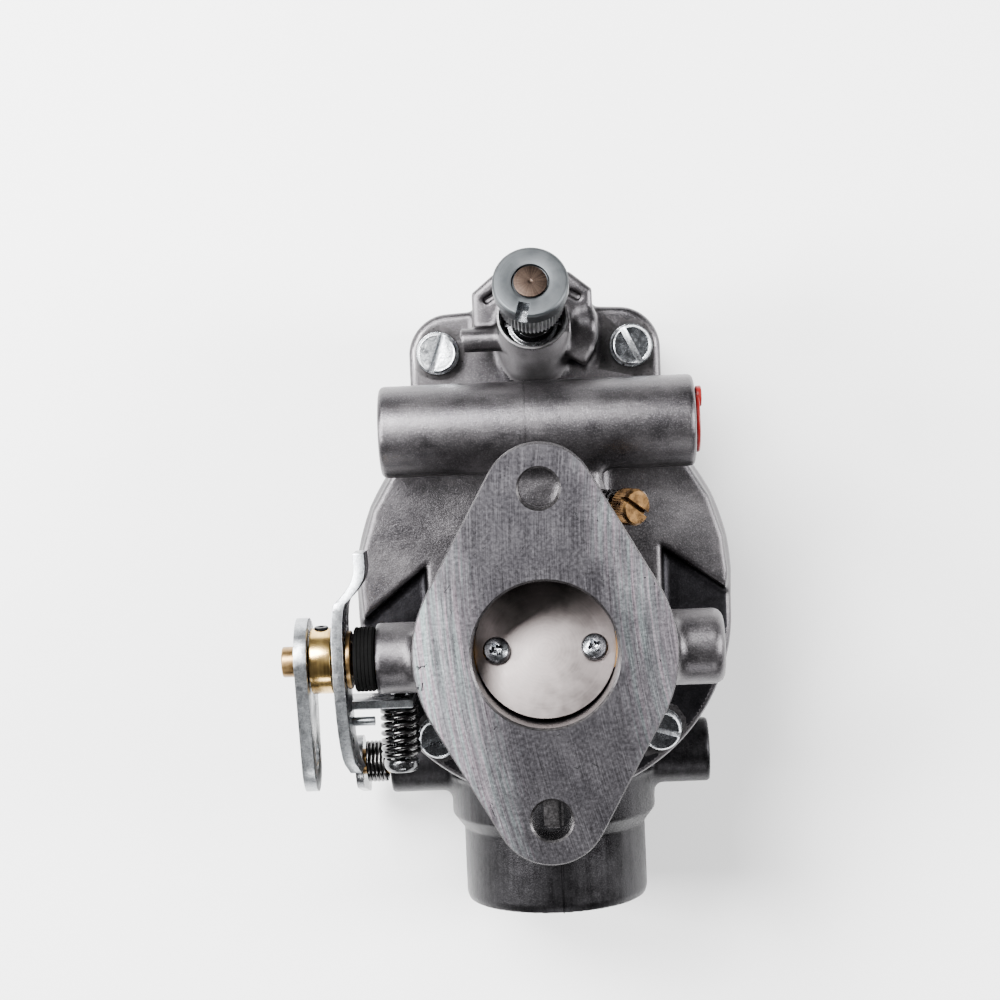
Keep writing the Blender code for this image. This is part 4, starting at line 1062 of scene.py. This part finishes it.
def build_throttle():
    f = plate_frame()
    steps = [(0, SHAFT_X0), (SHAFT_END_R, SHAFT_X0), (SHAFT_END_R, -40.8), (SHAFT_R, -40.4),
             (SHAFT_R, SHAFT_X1), (0, SHAFT_X1)]
    shaft = lathe("throttle_shaft_turned", steps, SHAFT, 72, 0.5)
    carve(shaft, [box("flat", -15.3, 15.3, -6, 6, 0.6, 6, f)])
    show(shaft, "throttle", BRASS_DULL, "brass", "throttle_shaft")

    verts, n = [], 128
    opening = REST_TILT - CLOSED_TILT
    p = Vector((0, SHAFT_Y, SHAFT_Z))
    open_m = Matrix.Translation(p) @ Matrix.Rotation(-opening, 4, "X") @ Matrix.Translation(-p)
    lift, thick = 1.65, 1.5
    for off in (lift - thick / 2, lift + thick / 2):
        for i in range(n):
            a = 2 * math.pi * i / n
            x, y = (BORE_R - 0.14) * math.cos(a), (BORE_R - 0.14) * math.sin(a)
            z = SHAFT_Z + (off - math.sin(CLOSED_TILT) * (y - SHAFT_Y)) / math.cos(CLOSED_TILT)
            verts.append(tuple(f.inverted() @ (open_m @ Vector((x, y, z)))))
    plate = make("throttle_plate_disc", verts, caps(1, n) + walls(1, n), f)
    bevelled(plate, 0.16, 2, 50)
    show(plate, "throttle", PLATE, "cast_aluminium", "throttle_plate")
    for s, side in ((-1, "left"), (1, "right")):
        at = f @ Matrix.Translation((s * 10.3, 0, 0))
        z = 2.85
        washer = ring("plate_washer_" + side, 1.7, 2.75, z - 0.42, z - 0.02, at, 48, 0.1)
        show(washer, "throttle", SPRING, "spring_steel")
        phillips("plate_screw_" + side, 2.9, z, 1.5, at, "throttle", "throttle_plate_screw_" + side, 2.6)


def lever_outline(r_hub, r_tip, reach, n=24):
    t = math.degrees(math.asin((r_hub - r_tip) / reach))
    return arc(0, 0, r_hub, 90 - t, 270 + t, 2 * n) + arc(reach, 0, r_tip, -90 + t, 90 - t, n)


def smooth_path(points, rounds=2):
    """Corner cutting that keeps the two ends."""
    for _ in range(rounds):
        out = [points[0]]
        for a, b in zip(points, points[1:]):
            a, b = np.array(a), np.array(b)
            out += [tuple(a * 0.75 + b * 0.25), tuple(a * 0.25 + b * 0.75)]
        points = out + [points[-1]]
    return points


def build_levers():
    pts = [(SHAFT_Y - a, SHAFT_Z - LEVER_DROP * max(0, a) + b)
           for a, b in lever_outline(9.2, 7.2, LEVER_REACH)]
    lever = prism("control_lever", pts, -52.4, -49.8, YZ)
    link = along_x(0, SHAFT_Y - LEVER_REACH + 0.5, SHAFT_Z - LEVER_DROP * LEVER_REACH)
    carve(lever, [rod("hole", ON_SHAFT_R, -60, -40, SHAFT, 48), rod("rod_hole", 2.6, -60, -40, link, 40)])
    bevelled(lever, 0.45, 3)
    show(lever, "throttle", [ZINC_LEVER_LIT, ZINC_LEVER_SHADE], "zinc_steel", "throttle_control_lever")
    # flat faces take the painted-shade copy, the edges the painted-light copy
    paint(lever, 1, lambda p, n: abs(n.x) > 0.75)

    # spine (y, x), half width, centre height
    spine = [(21.6, -39.6, 4.2, -15), (16.4, -39.4, 5.2, -15), (12.4, -42.4, 6.6, -15),
             (10.6, -44.6, 7.4, -15), (-7.5, -44.6, 7.8, -15.5), (-21.8, -44.0, 6.0, -17.5),
             (-25.2, -42.3, 4.6, -18.0)]
    spine = smooth_path(spine, 2)
    verts, faces = [], []
    for i, (y, x, h, zc) in enumerate(spine):
        for dx in (0, 2.4):
            for s in (-1, 1):
                verts.append((x + dx, y, zc + s * h))
    last = 4 * (len(spine) - 1)
    for i in range(len(spine) - 1):
        a, b = 4 * i, 4 * (i + 1)
        for p, q in ((0, 1), (1, 3), (3, 2), (2, 0)):
            faces.append((a + p, a + q, b + q, b + p))
    faces += [(0, 2, 3, 1), (last, last + 1, last + 3, last + 2)]
    stop = make("stop_lever", verts, faces)
    carve(stop, [box("tab", -43.6, -28.9, -12.7, -10.8, -31.8, -19.5, UP, 0.3)], "UNION")
    carve(stop, [rod("hole", ON_SHAFT_R, -60, -30, SHAFT, 48)])
    screw_at = axis_frame((-32.4, -8.0, -27.0), (0, -1, 0))
    carve(stop, [rod("hole", 2.0, -2, 12, screw_at, 32)])
    bevelled(stop, 0.4, 3, 50)
    show(stop, "throttle", [ZINC_LEVER_LIT, ZINC_LEVER_SHADE], "zinc_steel", "throttle_stop_lever")
    # faces that don't point up or down take the painted-shade copy, the upper and lower edges the
    # painted-light copy
    paint(stop, 1, lambda p, n: abs(n.z) < 0.6)
    pin = rod("lever_pin", 1.0, -42.8, -37.2, along_x(0, -15.3, -20.5), 32, 0.25)
    show(pin, "throttle", ZINC_LEVER_LIT, "zinc_steel")

    hub = ring("hub_collar", ON_SHAFT_R, 7.0, -49.5, -45.0, SHAFT, 96, 0.3)
    up = axis_frame((-47.2, SHAFT_Y, SHAFT_Z), (0, 1, 0.12))
    carve(hub, [rod("tap", 1.6, 3, 9, up, 32)])
    show(hub, "throttle", BRASS, "brass", "lever_hub_collar")
    grub = rod("grub_screw", 1.5, SHAFT_END_R + 0.7, 7.4, up, 32, 0.25)
    carve(grub, [prism("hex", arc(0, 0, 0.8, 0, 300, 5), 6.2, 9, up)])
    show(grub, "throttle", BLACK_OXIDE, "spring_steel", "collar_set_screw")
    washer = ring("lever_washer_thin", SHAFT_END_R + 0.1, 4.6, -53.0, -52.7, SHAFT, 64, 0.08)
    show(washer, "throttle", SPRING, "spring_steel", "lever_washer")
    retainer = ring("seal_retainer", SHAFT_END_R + 0.2, 6.2, -41.95, -40.95, SHAFT, 80, 0.2)
    show(retainer, "throttle", BRASS_DULL, "brass", "shaft_seal_retainer")
    profile = [(SHAFT_R + 0.15, -40.3), (6.5, -40.3)]
    ribs = 5
    for i in range(ribs):
        x = -40.1 + 4.0 * i / ribs
        profile += [(6.9, x + 0.1), (6.9, x + 0.55), (6.7, x + 0.65), (6.7, x + 0.7)]
    profile += [(6.5, -35.9), (SHAFT_R + 0.15, -35.9)]
    seal = lathe("shaft_seal", profile, SHAFT, 80)
    show(seal, "castings", RUBBER, "black_rubber", "throttle_shaft_seal")

    profile = [(0, 16.6), (3.5, 16.6), (3.8, 17.1), (3.8, 18.4), (3.0, 19.5), (0, 19.6)]
    head = lathe("stop_screw_head", profile, screw_at, 80, 0.4)
    carve(head, [slot(screw_at, 0.5, 18.3, 22)])
    shank = threaded("stop_screw_thread", 1.75, 0.28, 0.8, 0.2, 16.7, screw_at, 36)
    screw = join("stop_screw_slotted", [head, shank])
    show(screw, "stop_screw", STEEL_DARK, "zinc_steel", "throttle_stop_screw")
    spring = coil("stop_spring", 3.7, 0.62, 4.9, 16.5, 6.6, screw_at, 0.9)
    show(spring, "throttle", SPRING, "spring_steel", "throttle_stop_spring")


# ------------------------------------------------------------ adjusting screws

def build_idle_screw():
    profile = [(0, -4.9), (2.9, -4.9), (3.1, -4.3), (3.8, -4.1), (3.9, -3.7), (3.9, -2.6), (3.9, -1.4),
               (3.9, -0.45), (3.45, 0), (0, 0)]
    head = lathe("idle_screw_head", profile, IDLE, ribs=40, depth=0.28, ribbed=(-4.0, -0.5, 3.5))
    carve(head, [slot(IDLE, 0.55, -1.6, 2, degrees=62)])
    shank = threaded("idle_screw_thread", 1.9, 0.25, 0.8, -25, -4.8, IDLE, 32)
    tip = lathe("idle_tip", [(0, -32), (0.4, -32), (1.6, -25.2), (1.6, -24.5), (0, -24.5)], IDLE, 32)
    screw = join("idle_screw_knurled", [head, shank, tip])
    show(screw, "idle_screw", BRASS_AGED, "brass", "idle_mixture_screw")
    spring = coil("idle_spring", 2.9, 0.45, -13.9, -5.1, 6.0, IDLE, 0.9)
    show(spring, "castings", SPRING, "spring_steel", "idle_screw_spring")


def build_main_needle():
    top = KNOB_FACE_L
    below = [(3.0, 11.6), (6.5, 11.6), (7.0, 11.1), (7.0, 9.0), (7.0, 6.5), (7.0, 4.6), (6.6, 4.2),
             (6.4, 3.5), (3.0, 3.5)]
    grip = lathe("knob_grip", [(r, top - h) for r, h in below], NEEDLE, ribs=52, depth=0.35,
                 ribbed=(top - 11.3, top - 4.4, 6.8))
    show(grip, "main_needle", KNURL_ZINC, "zinc_steel")
    below = [(3.0, 4.4), (6.9, 4.4), (7.7, 4.0), (KNOB_R, 3.5), (KNOB_R, 0.45), (KNOB_R - 0.45, 0),
             (3.95, 0), (3.85, 0.7), (3.0, 0.7)]
    rim = lathe("knob_rim", [(r, top - h) for r, h in below], NEEDLE, 112, 0.12)
    turn = spun(NEEDLE, -16)
    carve(rim, [box("slot", -1.25, 1.25, 4.9, 10, top - 3.2, top + 3, turn)])
    show(rim, "main_needle", [KNOB_ZINC, ZINC], "zinc_steel", "main_adjusting_knob")

    def in_slot(p, n):
        q = turn.inverted() @ p
        within = abs(q.x) < 1.27 and q.y > 4.85 and q.z < top - 0.2
        return within and math.hypot(q.x, q.y) < KNOB_R - 0.05

    paint(rim, 1, in_slot)
    stem = [(0, -51.4), (0.3, -51.4), (1.3, -47.5), (1.3, -40.5), (2.3, -38.5), (2.3, 7.0), (2.7, 7.6),
            (2.7, top - 0.4), (3.5, top - 0.4), (3.5, top + 0.1), (0.5, top + 0.12), (0, top - 0.02)]
    needle = lathe("needle_stem", stem, NEEDLE, 72, 0.1)
    show(needle, "main_needle", BRONZE, "bronze", "main_adjusting_needle")
    profile = [(3.0, 9.2), (6.2, 9.2), (6.2, 11.6), (5.6, 12.4), (4.6, 12.4), (4.3, 14.4), (3.0, 14.6)]
    nut = lathe("packing_nut_round", profile, NEEDLE, 72, 0.25)
    carve(nut, [slot(NEEDLE, 0.6, 11.4, 16, 8)])
    show(nut, "castings", STEEL_DARK, "zinc_steel", "needle_packing_nut")


# ------------------------------------------------------------ screws, choke, fuel parts

def build_cover_screws():
    names = ("upper_left", "upper_right", "lower_right", "lower_left")
    turns = (70, 116, -15, 20)
    for (x, y), name, deg in zip(SCREWS, names, turns):
        at = upright(x, y, COVER_TOP)
        washer = ring("washer_" + name, 2.7, 4.8, 0.02, 1.3, at, 72, 0.15)
        carve(washer, [box("split", 0, 6, -0.25, 0.25, -1, 3, spun(at, deg + 130))])
        show(washer, "castings", ZINC, "zinc_steel", "lock_washer_" + name)
        profile = [(0, 1.35), (4.4, 1.35), (4.4, 4.35), (4.0, 4.95), (3.75, 4.8), (0, 4.85)]
        head = lathe("head_" + name, profile, at, 96, 0.12)
        carve(head, [slot(at, 0.65, 3.4, 8, degrees=deg)])
        bevelled(head, 0.1, 2, 40)
        shank = threaded("shank", 2.35, 0.3, 0.9, -18.5, 1.4, at, 32)
        # Painted light and shade: the upper left head is lit all over; on the other heads the face takes the
        # shaded copy and the rim the lit copy, except the lower left, whose rim takes plain zinc
        face = ZINC_PAINTED_LIT if name == "upper_left" else ZINC_PAINTED_SHADE
        screw = join("screw_" + name, [head, shank])
        edge = ZINC if name == "lower_left" else ZINC_PAINTED_LIT
        show(screw, "castings", [face, edge], "zinc_steel", "cover_screw_" + name)
        paint(screw, 1, lambda p, n: p.z < COVER_TOP + 3.6 or math.hypot(p.x - x, p.y - y) > 3.9)


def build_choke():
    c, s = math.cos(CHOKE_LEVER_DROP), math.sin(CHOKE_LEVER_DROP)
    pts = [(CHOKE_Y - a * c + b * s, HORN_Z - a * s - b * c) for a, b in lever_outline(6.4, 3.4, 14.0)]
    lever = prism("choke_arm", pts, -47.0, -45.2, YZ)
    carve(lever, [rod("hole", CHOKE_SHAFT_R - 0.1, -60, -30, CHOKE, 40)])
    bevelled(lever, 0.3, 3)
    show(lever, "choke", STEEL_DARK, "zinc_steel", "choke_lever")
    spring = coil("choke_spring", 4.5, 0.5, -44.8, -39.0, 5.0, CHOKE, 0.7)
    show(spring, "castings", SPRING, "spring_steel", "choke_return_spring")
    shaft = lathe("choke_rod", [(0, -47.6), (2.6, -47.6), (3.0, -47.2), (CHOKE_SHAFT_R - 0.1, -45.0),
                                (CHOKE_SHAFT_R, 33.6), (0, 33.6)], CHOKE, 56, 0.2)
    carve(shaft, [box("flat", -18.9, 18.9, CHOKE_Y - 6, CHOKE_Y + 6, HORN_Z + 0.6, HORN_Z + 6)])
    show(shaft, "choke", BRASS_DULL, "brass", "choke_shaft")


def build_fuel_parts():
    bar = along_x(0, TUBE_Y, TUBE_Z)
    profile = [(0, 26.5), (5.2, 26.5), (5.5, 27.2), (5.7, 34.0), (7.0, 34.3), (7.1, 34.8), (6.9, 35.2),
               (0, 35.2)]
    cap = lathe("inlet_cap", profile, bar, 64, 0.2)
    tab = rod("tab", 2.3, 34.5, 35.8, along_x(0, TUBE_Y + 5.1, TUBE_Z + 2.5), 40, 0.45)
    show(join("inlet_cap_red", [cap, tab]), "inlet_cap", RED, "red_plastic", "fuel_inlet_cap")
    plug = prism("drain_plug", arc(0, 0, 6.9, 0, 300, 5), -99.5, -94.9, DRAIN, 0.4)
    stem = rod("plug_stem", 4.2, -95, -86.5, DRAIN, 40, 0.3)
    show(join("drain_plug_hex", [plug, stem]), "castings", BRASS, "brass", "bowl_drain_plug")


def dress_inner_nodes():
    """Parts whose CAD shape stays: each gets its finish."""
    finish = {FIBRE: ["bowl_gasket"], RUBBER: ["needle_packing", "needle_seal_ring"],
              BRASS_DULL: ["main_jet", "main_nozzle", "idle_tube", "float_arm"],
              BRASS: ["inlet_valve_seat", "inlet_needle_valve"], FOAM: ["float"], BORED: ["venturi"],
              PLATE: ["choke_plate"],
              ZINC: ["float_hinge_pin", "choke_plate_screw_left", "choke_plate_screw_right"]}
    for mat, names in finish.items():
        for name in names:
            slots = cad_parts[name].data.materials
            for i in range(len(slots)):
                slots[i] = mat
            if not slots:
                slots.append(mat)


# ------------------------------------------------------------ studio

FLOOR_HALF, FLOOR_Z = 1500, -99.8


def build_studio():
    corners = [(x, y, FLOOR_Z) for x, y in rectangle(-FLOOR_HALF, FLOOR_HALF, -FLOOR_HALF, FLOOR_HALF)]
    floor = make("floor", corners, [(0, 1, 2, 3)])
    f = Finish("studio paper", (0.95, 0.95, 0.95), 0.9, 0.0)
    paper = f.mix(f.noise(60, 2), (0.94, 0.94, 0.94), (0.96, 0.96, 0.96))
    floor.data.materials.append(f.set(Base_Color=paper))

    def softbox(name, at, size, power, target=(0, 20, -40)):
        data = bpy.data.lights.new(name, "AREA")
        data.shape = "RECTANGLE"
        data.size, data.size_y = size[0] * MM, size[1] * MM
        data.energy = power
        ob = bpy.data.objects.new(name, data)
        bpy.context.scene.collection.objects.link(ob)
        ob.location = Vector(at) * MM
        ob.rotation_mode = "QUATERNION"
        ob.rotation_quaternion = (Vector(target) - Vector(at)).to_track_quat("-Z", "Y")

    softbox("key", (-290, 400, 610), (430, 250), 24.0)
    softbox("left", (-660, 60, 440), (200, 560), 18.0)
    softbox("right", (680, 80, 400), (200, 560), 14.0)
    softbox("front", (40, -800, 420), (420, 160), 2.8)
    world = bpy.data.worlds.new("studio")
    world.use_nodes = True
    background = world.node_tree.nodes["Background"].inputs
    background["Color"].default_value = (0.9, 0.9, 0.92, 1)
    background["Strength"].default_value = 0.15
    bpy.context.scene.world = world


def build_camera():
    data = bpy.data.cameras.new("camera")
    data.lens = 74.43
    data.sensor_width = 36
    data.clip_start, data.clip_end = 0.01, 10
    cam = bpy.data.objects.new("camera", data)
    bpy.context.scene.collection.objects.link(cam)
    at, aim, roll = Vector((3.56, 52.97, 420.0)), Vector((-7.88, 32.09, 0.0)), math.radians(2.42)
    z = (at - aim).normalized()
    up = Vector((math.sin(roll), math.cos(roll), 0))
    y = (up - z * up.dot(z)).normalized()
    m = Matrix((y.cross(z), y, z)).transposed().to_4x4()
    m.translation = at * MM
    cam.matrix_world = m
    bpy.context.scene.camera = cam


build_throttle_body()
build_fuel_bowl()
build_throttle()
build_levers()
build_idle_screw()
build_main_needle()
build_cover_screws()
build_choke()
build_fuel_parts()
dress_inner_nodes()
build_studio()
build_camera()
